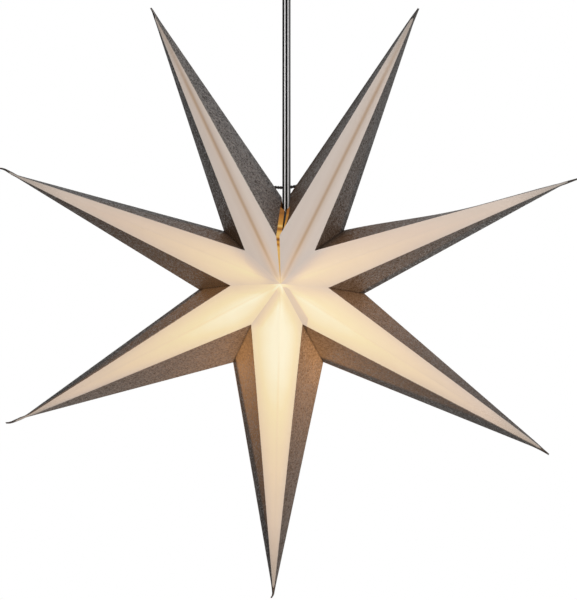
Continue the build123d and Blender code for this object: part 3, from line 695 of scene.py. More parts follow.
# Vitreous insulator: black glass with a smooth gloss
VITREOUS_BLACK = Moulded("black_vitreous_glass", "#0d0d10", "#141418", 0.12, 1.5)
# Powder coat on a spun cup: satin black with fine orange peel
CANOPY_ENAMEL = Moulded("black_powder_coat", "#141415", "#1b1b1c", 0.38, 1.4, coat=0.15, relief_mm=0.03)
# Brass, pressed from sheet: yellow with a little tarnish
PRESSED_BRASS = Moulded("pressed_brass", "#d8b062", "#b98f4a", 0.3, 0.9, metallic=1.0)
# Aluminium bulb cap, pressed: bright and lightly brushed
PRESSED_ALUMINIUM = Moulded("pressed_aluminium", "#d9d9d8", "#c6c6c5", 0.28, 0.9, metallic=1.0)
# Steel with zinc plating: grey with a faint bloom
ZINC_STEEL = Moulded("zinc_plated_steel", "#b9babd", "#a3a5a9", 0.36, 0.7, metallic=1.0)
# Waxed string: dark with soft fibres
TIE_STRING = Moulded("waxed_string", "#3a3430", "#2a2522", 0.7, 0.4, relief_mm=0.15, cloud_mm=3.0)


def outward(bearing: float) -> Array:
    """Unit vector from the hub towards a bearing in the star's plane."""
    angle = math.radians(bearing)
    return np.array((math.sin(angle), 0.0, math.cos(angle)))


def clockwise(bearing: float) -> Array:
    """Unit vector square to a bearing, on its clockwise side seen from the front."""
    angle = math.radians(bearing)
    return np.array((math.cos(angle), 0.0, -math.sin(angle)))


def line_distance(points: Array, start: Array, end: Array) -> Array:
    """Distance of points from the line through two points.

    Args:
        points: Points in any array shape, with coordinates last.
        start: One point of the line.
        end: Another point of the line.

    Returns:
        Distances, in the shape of the points without coordinates.
    """
    direction = (end - start) / np.linalg.norm(end - start)
    return np.linalg.norm(np.cross(points - start, direction), axis=-1)


def new_piece(name: str, points: list, faces: list[tuple[int, ...]],
              sharp_degrees: float = SHARP_DEGREES) -> Object:
    """Make a smooth mesh object and link it to the scene.

    Args:
        name: Name of the piece.
        points: Vertices in metres.
        faces: Vertex numbers of each face.
        sharp_degrees: Folds sharper than this keep a hard edge.

    Returns:
        The new object.
    """
    mesh = bpy.data.meshes.new(name)
    mesh.from_pydata(points, [], faces)
    mesh.polygons.foreach_set("use_smooth", [True] * len(faces))
    mesh.update()
    mesh.set_sharp_from_angle(angle=math.radians(sharp_degrees))
    piece = bpy.data.objects.new(name, mesh)
    bpy.context.scene.collection.objects.link(piece)
    return piece


class MeshDraft:
    """Collects grids of points with their marks and turns them into one mesh."""

    FOLD_DEGREES = 14.0

    def __init__(self) -> None:
        """Start with nothing.

        Points and marks stay lists of arrays until the mesh is made.
        """
        self.points: list[Array] = []
        self.marks: dict[str, list[Array]] = {mark: [] for marks in MARKS.values() for mark in marks}
        self.faces: list[tuple[int, ...]] = []
        self.sides: list[int] = []
        self.count = 0

    def add_points(self, points: Array, marks: dict[str, Array]) -> Array:
        """Add points.

        Args:
            points: Points with coordinates last, in millimetres from the hub.
            marks: Marks in the same shape; those left out are 0.

        Returns:
            Indices in the shape of the points.
        """
        flat = points.reshape(-1, 3)
        self.points.append(flat)
        for mark, store in self.marks.items():
            store.append(marks[mark].ravel() if mark in marks else np.zeros(len(flat)))
        indices = np.arange(self.count, self.count + len(flat)).reshape(points.shape[:-1])
        self.count += len(flat)
        return indices

    def add_face(self, face: tuple[int, ...], side: Side, flip: bool) -> None:
        """Add a face.

        Args:
            face: Indices of its points.
            side: Side of the sheet that it shows.
            flip: Whether it is turned over.
        """
        self.faces.append(face[::-1] if flip else face)
        self.sides.append(side.value)

    def skin(self, rows: Array, side: Side, closed: bool = False, flip: bool = False) -> None:
        """Cover a grid of indices with quads.

        Args:
            rows: Indices as a grid.
            side: Side of the sheet that the faces show.
            closed: Whether the last column joins the first.
            flip: Whether the faces are turned over.
        """
        grid = rows.tolist()
        width = rows.shape[1]
        for upper, lower in zip(grid[:-1], grid[1:]):
            for i in range(width if closed else width - 1):
                j = (i + 1) % width
                self.add_face((upper[i], upper[j], lower[j], lower[i]), side, flip)

    def cap(self, ring: Array, side: Side, flip: bool = False) -> None:
        """Close a ring of indices with a fan.

        Args:
            ring: Indices round the ring.
            side: Side of the sheet that the faces show.
            flip: Whether the faces are turned over.
        """
        middle = np.concatenate(self.points)[ring].mean(0)[None]
        marks = {mark: np.concatenate(store)[ring[:1]] for mark, store in self.marks.items()}
        centre = int(self.add_points(middle, marks)[0])
        for i, j in zip(ring.tolist(), np.roll(ring, -1).tolist()):
            self.add_face((i, j, centre), side, flip)

    def slab(self, points: Array, layer: float, light: Array) -> None:
        """Add a thin piece of bare paper with its two sides and its rim.

        Args:
            points: Grid of points of the outer side.
            layer: Scale about the hub of the inner side.
            light: Light that reaches the points.
        """
        upper, lower = (self.add_points(points * scale, {"light": light}) for scale in (1.0, layer))
        self.skin(upper, Side.INSIDE)
        self.skin(lower, Side.INSIDE, flip=True)
        rim = [np.concatenate((g[0], g[1:, -1], g[-1, -2::-1], g[-2:0:-1, 0])) for g in (upper, lower)]
        self.skin(np.stack(rim), Side.INSIDE, closed=True, flip=True)

    def make(self, name: str, hub: Vector, materials: list[Material]) -> Object:
        """Turn the draft into an object.

        Args:
            name: Name of the piece.
            hub: Place of the hub in the row frame, in metres.
            materials: Materials in the order of the sides.

        Returns:
            The new object, linked to the scene.
        """
        places = np.concatenate(self.points) * MM + np.array(hub)
        piece = new_piece(name, places.tolist(), self.faces, self.FOLD_DEGREES)
        for material in materials:
            piece.data.materials.append(material)
        piece.data.polygons.foreach_set("material_index", self.sides)
        for attribute, marks in MARKS.items():
            vectors = np.zeros((self.count, 3), np.float32)
            for axis, mark in enumerate(marks):
                vectors[:, axis] = np.concatenate(self.marks[mark])
            store = piece.data.attributes.new(attribute, "FLOAT_VECTOR", "POINT")
            store.data.foreach_set("vector", vectors.ravel())
        return piece


@dataclass(frozen=True)
class StarForm:
    """What all seven sheets share, in millimetres from the hub unless it is a share."""

    face_depth: float = 48.5
    hub_depth: float = 58.5
    hub_shift: Pair = (1.45, 1.75)
    paper: float = 0.4
    panel_columns: int = 12
    rows: int = 56
    row_crowding: float = 1.35
    # Soft shape of the panels, and the groove down the front ridge of a creased sheet
    buckle: float = 0.45
    buckle_size: float = 45.0
    buckle_rise: float = 0.5
    groove_depth: float = 0.7
    groove_width: float = 2.4
    # Tail at the tip: its thickness and growth, how it blends into the point, bends and hooks
    tail_radius: float = 0.62
    tail_growth: float = 0.045
    tail_length: float = 24.0
    tail_blend: float = 4.0
    tail_print: float = 9.0
    bend_length: float = 20.0
    bend_power: float = 1.5
    hook_length: float = 5.0
    hook_power: float = 2.0
    least_reach: float = 0.002
    solid_tip: float = 20.0
    creep_taper: float = 1.6
    # Glued layers
    lap_depth: float = 11.5
    lap_end: float = 60.0
    lap_gap: float = 0.02
    lap_rows: int = 24
    tab_width: float = 6.0
    tab_gap: float = 0.01
    strip_columns: int = 4
    # Free flaps at the open seam, with the light on them by height
    flap_start: float = 12.0
    flap_dip: float = 2.5
    flap_least: float = 0.6
    flap_rows: int = 5
    flank_steps: int = 60
    ridge_steps: int = 54
    ridge_span: Pair = (0.03, 0.97)
    flap_dark_above: float = 62.0
    flap_fade: float = 30.0
    flap_light: Pair = (0.25, 0.72)
    dent_size: float = 1.2
    # Light that gathers at the hub and along the ridges, and is lost at valleys and folds
    hub_glow: float = 0.9
    hub_glow_reach: float = 4.5
    ridge_glow: float = 0.27
    ridge_glow_width: float = 3.0
    ridge_glow_reach: float = 35.0
    valley_dim: float = 5.5
    edge_dim: float = 0.4
    # The lamp holder shades the inside of the paper above it
    holder_top: float = 64.0
    holder_fade: float = 14.0
    holder_least: float = 0.1

    @property
    def layer(self) -> float:
        """Scale about the hub that steps one paper thickness inwards."""
        return 1 - self.paper / self.face_depth


@dataclass(frozen=True)
class Valley:
    """Where two sheets meet: bearings and distances from the hub of the face fold and the side fold."""

    face_bearing: float
    face_radius: float
    side_bearing: float
    side_radius: float
    side_depth: float = 0.0

    def corners(self, depth: float) -> tuple[Array, Array, Array]:
        """Ends of the folds in this valley.

        Args:
            depth: Distance of the face folds from the star's middle plane.

        Returns:
            Front, side and back.
        """
        face = outward(self.face_bearing) * self.face_radius
        back = np.array((0.0, depth, 0.0))
        side = outward(self.side_bearing) * self.side_radius + np.array((0.0, self.side_depth, 0.0))
        return face - back, side, face + back


@dataclass(frozen=True)
class BulbLight:
    """How the bulb's light reaches the paper."""

    place: Array
    strongest: float = 1.05
    nearest_mm: float = 49.0
    fade_mm: float = 80.0
    holder_shade: float = 0.28
    ink_grazing: float = 0.25
    lean: float = 0.5

    def reaching(self, points: Array, normals: Array | None = None, ink: bool = False) -> Array:
        """Light that reaches points of the paper.

        Args:
            points: Points in millimetres from the hub, coordinates last.
            normals: Outward unit normals, where the panel's lean counts.
            ink: Whether grazing light counts less, as it does through the print.

        Returns:
            Light, about 1 in front of the bulb.
        """
        away = points - self.place
        distance = np.linalg.norm(away, axis=-1)
        rise = np.clip(away[..., 2] / distance, 0, 1)
        light = self.strongest * np.exp((self.nearest_mm - distance) / self.fade_mm)
        light = light * (1 - self.holder_shade * rise)
        if normals is not None:
            light = light * (1 - self.lean * normals[..., 2])
        if ink:
            facing = np.clip((away * normals).sum(-1) / distance, 0, 1)
            light = light * (self.ink_grazing + (1 - self.ink_grazing) * facing)
        return light


@dataclass(frozen=True)
class Flank:
    """Print on one flank of a sheet, with painted light and shade as its tone, and the shade in the valley
    beside it.
    """

    # Painted light and shade: how dark or light this flank's print is drawn, by how the lamps fall on it
    tone: float
    sparkle: float = 1.0
    # Millimetres that the print runs past the fold on to the face, below 0 where it stops short of it
    creep: float = 0.0
    dim: float = 0.2


@dataclass(frozen=True)
class Sheet:
    """What sets one sheet of the star apart from the others."""

    name: str
    tip_bearing: float
    tip_radius: float
    # Tail beyond the place where the folds meet: length, drift and hook to the clockwise side
    tail: Triple
    behind: Flank
    ahead: Flank
    # Shares of the bulb's light through the white band and through the print
    light_share: float
    ink_share: float = 1.0
    crease_shade: float = 0.0
    # Millimetres that the anticlockwise side crease is bowed
    bow_behind: float = 0.0
    # Shade of the joining tab, and softness of its edge in millimetres
    tab_shade: float = 0.35
    tab_edge: float = 0.8
    # Edge at the open seam: millimetres that it is bowed, and its flap's width as a share of the gap
    seam: Seam = Seam.NONE
    seam_bow: float = 0.0
    flap_share: float = 0.0
    # Heights above the hub of the flap's dents, with their shade, below 0 where a dent catches light
    flap_dents: tuple[Pair, ...] = ()


@dataclass(frozen=True)
class SheetGrid:
    """Points of an unbent sheet, in rows from the tip to the hub and columns clockwise from the front."""

    flat: Array
    # Points along the edge at the hub, then panel and place across it of each column
    edge: Array
    panel: Array
    across: Array
    # Outward normal of each panel, and share of the way from the tip of each row
    normals: Array
    reach: Array


@dataclass(frozen=True)
class PaperPoint:
    """One folded sheet of the star between its two valleys."""

    sheet: Sheet
    behind: Valley
    ahead: Valley
    form: StarForm
    light: BulbLight

    @property
    def axis(self) -> Array:
        """Unit vector from the hub to the tip."""
        return outward(self.sheet.tip_bearing)

    @property
    def tip(self) -> Array:
        """Where the folds of the point meet."""
        return self.axis * self.sheet.tip_radius

    @property
    def tail_start(self) -> float:
        """Share of the point's length at which its tail ends, below 0 beyond the tip."""
        return -self.sheet.tail[0] / self.sheet.tip_radius

    def corners(self) -> Array:
        """Where the folds end at the hub.

        Returns:
            Eight points in the order of Corner.
        """
        ahead, behind = (valley.corners(self.form.face_depth) for valley in (self.ahead, self.behind))
        x, z = self.form.hub_shift
        front, back = (np.array((x, depth, z)) for depth in (-self.form.hub_depth, self.form.hub_depth))
        return np.array((front, *ahead, back, *behind[::-1]))

    def lay_out(self) -> SheetGrid:
        """Spread the sheet's flat panels as a grid.

        Returns:
            The unbent sheet.
        """
        form, corners = self.form, self.corners()
        ends = np.roll(corners, -1, axis=0)
        shares = (1 - np.cos(np.pi * np.arange(form.panel_columns) / form.panel_columns)) / 2
        edge = (corners[:, None] + (ends - corners)[:, None] * shares[None, :, None]).reshape(-1, 3)
        panel = np.repeat(np.arange(len(Corner)), form.panel_columns)
        across = np.tile(shares, len(Corner))
        if self.sheet.seam is Seam.BEHIND:
            flanks = [panel == Corner.BEHIND_BACK, panel == Corner.BEHIND_SIDE]
            from_side = np.select(flanks, [1 - across, across], 0.0)
            edge[:, 0] += self.sheet.seam_bow * np.sqrt(np.sin(np.pi * from_side))
        normals = np.cross(corners - self.tip, ends - self.tip)
        normals /= np.linalg.norm(normals, axis=1, keepdims=True)
        normals *= np.sign((normals * (corners + ends)).sum(1))[:, None]
        rows = (np.arange(form.rows + 1) / form.rows) ** form.row_crowding
        reach = self.tail_start + (1 - self.tail_start) * rows
        flat = self.tip + (edge - self.tip)[None] * np.maximum(reach, form.least_reach)[:, None, None]
        return SheetGrid(flat, edge, panel, across, normals, reach)

    def build(self, hub: Vector, materials: list[Material]) -> Object:
        """Make the sheet with its lap, its tab and its flaps at the seam.

        Args:
            hub: Place of the hub in the row frame.
            materials: Printed outside and bare inside.

        Returns:
            The sheet as one piece.
        """
        draft, form, grid = MeshDraft(), self.form, self.lay_out()
        marks, shaped = self.marks(grid), self.shape(grid)
        outer = draft.add_points(shaped, marks)
        draft.skin(outer, Side.OUTSIDE, closed=True)
        draft.cap(outer[0], Side.OUTSIDE, flip=True)
        first = int(np.argmax(grid.reach * self.sheet.tip_radius > form.solid_tip))
        inside = {mark: values[first:] for mark, values in marks.items()}
        below_holder = (form.holder_top - grid.flat[first:, :, 2]) / form.holder_fade
        inside["light"] = inside["light"] * np.clip(below_holder, form.holder_least, 1)
        inner = draft.add_points(shaped[first:] * form.layer, inside)
        draft.skin(inner, Side.INSIDE, closed=True, flip=True)
        draft.cap(inner[0], Side.INSIDE)
        draft.skin(np.stack((outer[-1], inner[-1])), Side.INSIDE, closed=True)
        self.closing_lap(draft)
        if self.sheet.tab_shade:
            self.joining_tab(draft, grid)
        if self.sheet.seam is not Seam.NONE:
            self.seam_flaps(draft)
        return draft.make(f"paper_{self.sheet.name}", hub, materials)

    def marks(self, grid: SheetGrid) -> dict[str, Array]:
        """Work out what the vertices tell the finish.

        Args:
            grid: The unbent sheet.

        Returns:
            Values by mark, in rows and columns.
        """
        sheet, form, flat, panel = self.sheet, self.form, grid.flat, grid.panel
        corners = self.corners()
        end = sheet.tip_radius + sheet.tail[0]
        outwards = (flat * self.axis).sum(-1) + sheet.tip_radius * np.maximum(-grid.reach, 0)[:, None]
        level = np.ones_like(outwards)
        printed, front = np.isin(panel, PRINTED_PANELS), np.isin(panel, FRONT_PANELS)
        clock = panel < Corner.BACK_HUB
        folds = [line_distance(flat, self.tip, corner) for corner in corners]
        ridge = np.where(front, folds[Corner.FRONT_HUB], folds[Corner.BACK_HUB])
        ridge = np.where(clock, ridge, -ridge)
        edge = np.where(
            clock, np.where(front, folds[Corner.AHEAD_FRONT], folds[Corner.AHEAD_BACK]),
            np.where(front, folds[Corner.BEHIND_FRONT], folds[Corner.BEHIND_BACK]))
        edge = np.where(printed, edge, -edge)
        tail = np.clip(form.tail_print - (end - outwards), 0, None)
        taper = np.clip(form.creep_taper * (1 - grid.reach), 0, 1)[:, None]
        joint = level * sheet.tip_radius
        for side, seam in zip(PRINTED_PANELS, (Seam.AHEAD, Seam.AHEAD, Seam.BEHIND, Seam.BEHIND)):
            if sheet.seam is not seam:
                joint = np.where(panel == side, line_distance(flat, corners[side], corners[side + 1]), joint)
        beside_valley = -(flat * clockwise(self.ahead.face_bearing)).sum(-1)
        return {
            "ridge": ridge,
            "edge": edge + tail,
            "lap": np.where(panel == Corner.AHEAD_FRONT, folds[Corner.AHEAD_SIDE], form.face_depth),
            "gap": np.where(clock, beside_valley, sheet.tip_radius),
            "run": (flat * outward(self.ahead.face_bearing)).sum(-1),
            "light": self.light_on(grid, ridge, edge, printed),
            "crease": level * sheet.crease_shade,
            "tab": level * sheet.tab_shade,
            "along": np.clip(outwards / end, 0, 1),
            "tone": level * np.where(clock, sheet.ahead.tone, sheet.behind.tone),
            "print_edge": edge + tail + taper * np.where(clock, sheet.ahead.creep, sheet.behind.creep),
            "sparkle": level * np.where(clock, sheet.ahead.sparkle, sheet.behind.sparkle),
            "tab_edge": level * sheet.tab_edge,
            "joint": joint,
        }

    def light_on(self, grid: SheetGrid, ridge: Array, edge: Array, printed: Array) -> Array:
        """Light of the bulb that arrives on the sheet.

        Args:
            grid: The unbent sheet.
            ridge: Distances from the centre ridge.
            edge: Distances from the fold beside the print.
            printed: Whether each column is printed.

        Returns:
            Light at each point.
        """
        sheet, form, flat = self.sheet, self.form, grid.flat
        facing = np.broadcast_to(grid.normals[grid.panel], flat.shape)
        dome = (np.abs(ridge) / (np.abs(ridge) + np.abs(edge) + TINY)) ** 2
        bare = self.light.reaching(flat, facing) * sheet.light_share * (1 - form.edge_dim * dome)
        light = np.where(printed, self.light.reaching(flat, facing, ink=True) * sheet.ink_share, bare)
        corners = self.corners()
        for corner in corners[[Corner.FRONT_HUB, Corner.BACK_HUB]]:
            distance = np.linalg.norm(flat - corner, axis=-1)
            off_ridge = (ridge / form.ridge_glow_width) ** 2 + (distance / form.ridge_glow_reach) ** 2
            light = light + form.hub_glow * np.exp(-((distance / form.hub_glow_reach) ** 2))
            light = light + form.ridge_glow * np.exp(-off_ridge)
        for valley, flank in ((self.behind, sheet.behind), (self.ahead, sheet.ahead)):
            near = (flat * clockwise(valley.face_bearing)).sum(-1) / form.valley_dim
            light = light * (1 - flank.dim * np.exp(-near * near))
        return light

    def shape(self, grid: SheetGrid) -> Array:
        """Buckle the panels, press the front groove, bow the crease behind, and thicken and bend the tail.

        Args:
            grid: The unbent sheet.

        Returns:
            Points of the bent sheet.
        """
        sheet, form, flat, panel, reach = self.sheet, self.form, grid.flat, grid.panel, grid.reach
        wave = np.array([[noise.noise(Vector(p) / form.buckle_size) for p in row] for row in flat])
        middle = np.sin(np.pi * grid.across)[None] * np.sin(np.pi * np.clip(reach, 0, 1))[:, None]
        bent = flat + grid.normals[panel] * (form.buckle * middle * (wave + form.buckle_rise))[..., None]
        ridge = line_distance(flat, self.tip, self.corners()[Corner.FRONT_HUB])
        faces = np.isin(panel, (Corner.FRONT_HUB, Corner.BEHIND_FRONT))
        groove = np.exp(-(ridge / form.groove_width) ** 2) * faces * sheet.crease_shade
        bent[..., 1] += form.groove_depth * groove * np.sin(np.pi * reach)[:, None]
        sideways = clockwise(sheet.tip_bearing)
        flanks = [panel == Corner.BEHIND_BACK, panel == Corner.BEHIND_SIDE]
        to_side = np.select(flanks, [grid.across, 1 - grid.across], 0.0)
        bow = sheet.bow_behind * to_side * (np.sin(np.pi * reach) ** 2)[:, None]
        bent = bent + sideways * bow[..., None]
        along = (bent * self.axis).sum(-1, keepdims=True)
        section = bent - along * self.axis
        along = along + sheet.tip_radius * np.maximum(-reach, 0)[:, None, None]
        left = sheet.tip_radius * (reach - self.tail_start)
        thick = form.tail_radius + form.tail_growth * left
        thick = (thick * np.clip(2 * (1 - left / form.tail_length), 0, 1))[:, None, None]
        size = np.linalg.norm(section, axis=-1, keepdims=True)
        wanted = (size**form.tail_blend + thick**form.tail_blend) ** (1 / form.tail_blend)
        drift = sheet.tail[1] * np.clip(1 - left / form.bend_length, 0, 1) ** form.bend_power
        drift = drift + sheet.tail[2] * np.clip(1 - left / form.hook_length, 0, 1) ** form.hook_power
        return along * self.axis + section * wanted / size + drift[:, None, None] * sideways

    def closing_lap(self, draft: MeshDraft) -> None:
        """Add the lap glued behind the front flank along the clockwise side crease.

        Args:
            draft: Mesh that takes the lap.
        """
        form, corners = self.form, self.corners()
        face, side = corners[Corner.AHEAD_FRONT], corners[Corner.AHEAD_SIDE]
        rows = []
        for share in np.linspace(form.lap_end / self.sheet.tip_radius, 1.0, form.lap_rows):
            width = min(1.0, form.lap_depth / (form.face_depth * share))
            line = side + (face - side) * np.linspace(width, form.lap_gap, form.strip_columns)[:, None]
            rows.append(self.tip + (line - self.tip) * share)
        self.under_layer(draft, np.array(rows))

    def joining_tab(self, draft: MeshDraft, grid: SheetGrid) -> None:
        """Add the neighbour's tab, glued behind the clockwise edge.

        Args:
            draft: Mesh that takes the tab.
            grid: The unbent sheet.
        """
        form = self.form
        ahead = grid.edge[grid.panel < Corner.BACK_HUB][::-1]
        step = form.tab_width / abs((self.tip * clockwise(self.ahead.face_bearing)).sum())
        depth = np.linspace(form.tab_gap, step, form.strip_columns)
        self.under_layer(draft, ahead[None] + (self.tip - ahead)[None] * depth[:, None, None])

    def under_layer(self, draft: MeshDraft, rows: Array) -> None:
        """Add a strip one paper thickness under the sheet.

        Args:
            draft: Mesh that takes the strip.
            rows: Points of the sheet above the strip.
        """
        light = self.light.reaching(rows) * self.sheet.light_share
        draft.slab(rows * self.form.layer, self.form.layer, light)

    def seam_flaps(self, draft: MeshDraft) -> None:
        """Add the unglued flaps that turn inwards from the sheet's edge at the open seam.

        Args:
            draft: Mesh that takes the flaps.
        """
        sheet, form, corners = self.sheet, self.form, self.corners()
        right = sheet.seam is Seam.BEHIND
        side = corners[Corner.BEHIND_SIDE if right else Corner.AHEAD_SIDE]
        faces = [Corner.AHEAD_FRONT, Corner.AHEAD_BACK]
        if right:
            faces = [Corner.BEHIND_FRONT, Corner.BEHIND_BACK]
        across = np.array((-1.0 if right else 1.0, 0.0, 0.0))
        share = np.linspace(0.0, 1.0, form.flap_rows)[:, None, None]
        run = np.linspace(form.flap_start / form.face_depth, 1, form.flank_steps)[:, None]
        rise = np.linspace(*form.ridge_span, form.ridge_steps)[:, None]
        for face, hub in zip(corners[faces], corners[[Corner.FRONT_HUB, Corner.BACK_HUB]]):
            flank = side + (face - side) * run
            flank[:, 0] += sheet.seam_bow * np.sqrt(np.abs(np.sin(np.pi * run[:, 0])))
            line = np.concatenate((flank, face + (hub - face) * rise))
            width = 2 * np.maximum(np.abs(line[:, 0]), form.flap_least) * sheet.flap_share
            inwards = line / np.linalg.norm(line, axis=-1, keepdims=True)
            rows = line[None] + across * width[None, :, None] * share - inwards[None] * form.flap_dip * share
            rows = rows if (hub[1] > 0) != right else rows[:, ::-1]
            height = rows[..., 2]
            least, most = form.flap_light
            light = np.clip((form.flap_dark_above - height) / form.flap_fade, 0, most) + least
            for dent, strength in sheet.flap_dents:
                light = light * (1 - strength * np.exp(-(((height - dent) / form.dent_size) ** 2)))
            draft.slab(rows, form.layer, light)


@dataclass
class PaperStar:
    """Seven folded sheets round the bulb."""

    hub: Vector
    bulb: Vector
    form: StarForm = StarForm()
    # The star sits a little off the flex, as it was spread by hand
    offset: Triple = (-1.42, 0.0, 0.0)
    # Face and side folds in each valley, clockwise from the open seam at the top
    valleys: tuple[Valley, ...] = (
        Valley(359.9, 39.0, 2.05, 72.5, 3.2), Valley(44.1, 37.9, 44.5, 65.0), Valley(91.2, 36.7, 92.1, 61.2),
        Valley(148.5, 32.9, 151.5, 62.1), Valley(217.4, 35.4, 215.9, 67.4), Valley(272.0, 37.1, 271.3, 66.0),
        Valley(316.5, 38.1, 314.8, 65.8), Valley(356.0, 38.2, 358.25, 72.0),
    )
    # The first number of each Flank is the painted light and shade of that flank's print
    sheets: tuple[Sheet, ...] = (
        Sheet("top_right", 25.3, 243.3, (-4.4, 0.6, 0.0), Flank(0.38), Flank(0.78), 0.14, 0.5,
              crease_shade=1.0, seam=Seam.BEHIND, seam_bow=3.4, flap_share=0.22, flap_dents=((56.5, -0.4),)),
        Sheet("right", 69.15, 233.7, (6.1, 0.7, 0.0), Flank(0.31, creep=-0.8, dim=0.82), Flank(0.78), 0.85,
              bow_behind=3.6, tab_shade=0.12),
        Sheet("lower_right", 121.7, 236.8, (0.5, 0.9, 0.0), Flank(0.48, creep=-0.5, dim=0.35),
              Flank(0.52, 0.65, 0.4), 0.97, tab_shade=1.0),
        Sheet("bottom", 182.1, 233.3, (1.4, 0.3, 1.4), Flank(0.85), Flank(0.15), 0.97, 0.95,
              tab_shade=0.75, tab_edge=5.0),
        Sheet("lower_left", 244.4, 225.5, (11.9, 0.9, 1.3), Flank(1.2, creep=-1.3), Flank(0.15, creep=0.9),
              1.12, tab_shade=0.12),
        Sheet("left", 293.4, 232.5, (8.1, 1.6, -1.2), Flank(0.2, creep=-0.4, dim=0.35),
              Flank(0.6, 1.4, dim=0.7), 1.1),
        Sheet("top_left", 334.75, 243.6, (-1.6, 0.3, -0.5), Flank(0.12, creep=-0.5), Flank(1.5, 1.5, 0.7),
              0.22, 0.3, crease_shade=1.0, tab_shade=0.0, seam=Seam.AHEAD, flap_share=0.64,
              flap_dents=((35.8, 0.97), (31.9, 0.6), (44.5, 0.7), (47.3, -0.4), (58.3, 0.35))),
    )

    def build(self) -> list[Object]:
        """Make the sheets and let them ride on the star.

        Returns:
            The seven sheets.
        """
        light = BulbLight(np.array(self.bulb - self.hub) / MM - np.array(self.offset))
        materials = [PrintedPaper().build(), InnerPaper().build()]
        made = []
        for sheet, behind, ahead in zip(self.sheets, self.valleys, self.valleys[1:]):
            point = PaperPoint(sheet, behind, ahead, self.form, light)
            piece = point.build(self.hub + Vector(self.offset) * MM, materials)
            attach(piece, Body.STAR.value)
            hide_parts(f"point_{sheet.name}")
            made.append(piece)
        return made


def sweep(route: list[Vector], outline: Array, name: str) -> Object:
    """Sweep a closed outline along a route that stays near vertical or level.

    Args:
        route: Points along the middle.
        outline: Points of the outline, (across, depth) in metres.
        name: Name of the new object.

    Returns:
        A closed tube, linked to the scene.
    """
    points, faces = [], []
    count, last = len(outline), len(route) - 1
    for i, place in enumerate(route):
        ahead = (route[min(i + 1, last)] - route[max(i - 1, 0)]).normalized()
        side = Vector((1, 0, 0)) if abs(ahead.x) < LEVEL_SHARE else Vector((0, 0, 1))
        depth = ahead.cross(side).normalized()
        side = depth.cross(ahead)
        points += [place + side * float(u) + depth * float(v) for u, v in outline]
    for start in range(0, last * count, count):
        for j in range(count):
            k = (j + 1) % count
            faces.append((start + j, start + k, start + count + k, start + count + j))
    faces.append(tuple(range(count))[::-1])
    faces.append(tuple(range(last * count, last * count + count)))
    return new_piece(name, points, faces)


@dataclass
class TwinFlex:
    """Taut twin flex from the lamp holder's clamp up into the ball bush."""

    # Route from the holder up, the same straight line as the solid
    route: tuple[Triple, ...]
    lobe_radius: float = 1.6 * MM
    web: float = 1.3 * MM
    lobe_steps: int = 56
    width: float = 6.4 * MM
    # Middle and half width of each painted highlight across the flex, and where the painted grey reflection
    # on one side starts
    highlights: tuple[Pair, ...] = ((-1.1 * MM, 0.47 * MM), (1.33 * MM, 0.42 * MM))
    grey_reflection_from: float = 1.75 * MM
    grey_reflection_tone: float = 0.13
    curve_steps: int = 16
    curve_order: int = 3

    def outline(self) -> Array:
        """Two round cores joined by a narrow web.

        Returns:
            Points of the outline, (across, depth) in metres.
        """
        gap = math.asin(self.web / 2 / self.lobe_radius)
        turns = np.linspace(-math.pi + gap, math.pi - gap, self.lobe_steps)
        right = np.stack((self.lobe_radius * (1 + np.cos(turns)), self.lobe_radius * np.sin(turns)), -1)
        return np.concatenate((right, -right))

    def highlight_tone(self, outline: Array) -> Array:
        """Painted highlights: how pale the flex is drawn at each outline point.

        Args:
            outline: Points of the outline, (across, depth) in metres.

        Returns:
            Tones from 0 in the dark sheath to 1 on a painted highlight, with a faint painted grey reflection
            on one side.
        """
        across = outline[:, 0]
        tone = np.where(across > self.grey_reflection_from, self.grey_reflection_tone, 0.0)
        for middle, half in self.highlights:
            tone = np.where(np.abs(across - middle) < half, 1.0, tone)
        return tone

    def spline_points(self) -> list[Vector]:
        """Draw the route as a smooth curve.

        Returns:
            Points along the curve.
        """
        curve = bpy.data.curves.new("flex_route", "CURVE")
        curve.dimensions = "3D"
        curve.resolution_u = self.curve_steps
        spline = curve.splines.new("NURBS")
        spline.points.add(len(self.route) - 1)
        for point, place in zip(spline.points, self.route):
            point.co = (*place, 1.0)
        spline.order_u = self.curve_order
        spline.use_endpoint_u = True
        holder = bpy.data.objects.new("flex_route", curve)
        mesh = bpy.data.meshes.new_from_object(holder)
        points = [v.co.copy() for v in mesh.vertices]
        bpy.data.objects.remove(holder)
        bpy.data.meshes.remove(mesh)
        return points

    def build(self) -> Object:
        """Returns:
            The flex.
        """
        line, outline = self.spline_points(), self.outline()
        piece = sweep(line, outline, "twin_flex")
        # Painted highlights and the grey reflection, stored on the outline points
        highlight_tones = np.tile(self.highlight_tone(outline), len(line)).astype(np.float32)
        piece.data.attributes.new("core", "FLOAT", "POINT").data.foreach_set("value", highlight_tones)
        piece.data.materials.append(FLEX_PVC.build())
        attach(piece, Body.PENDANT.value)
        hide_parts("cord")
        return piece


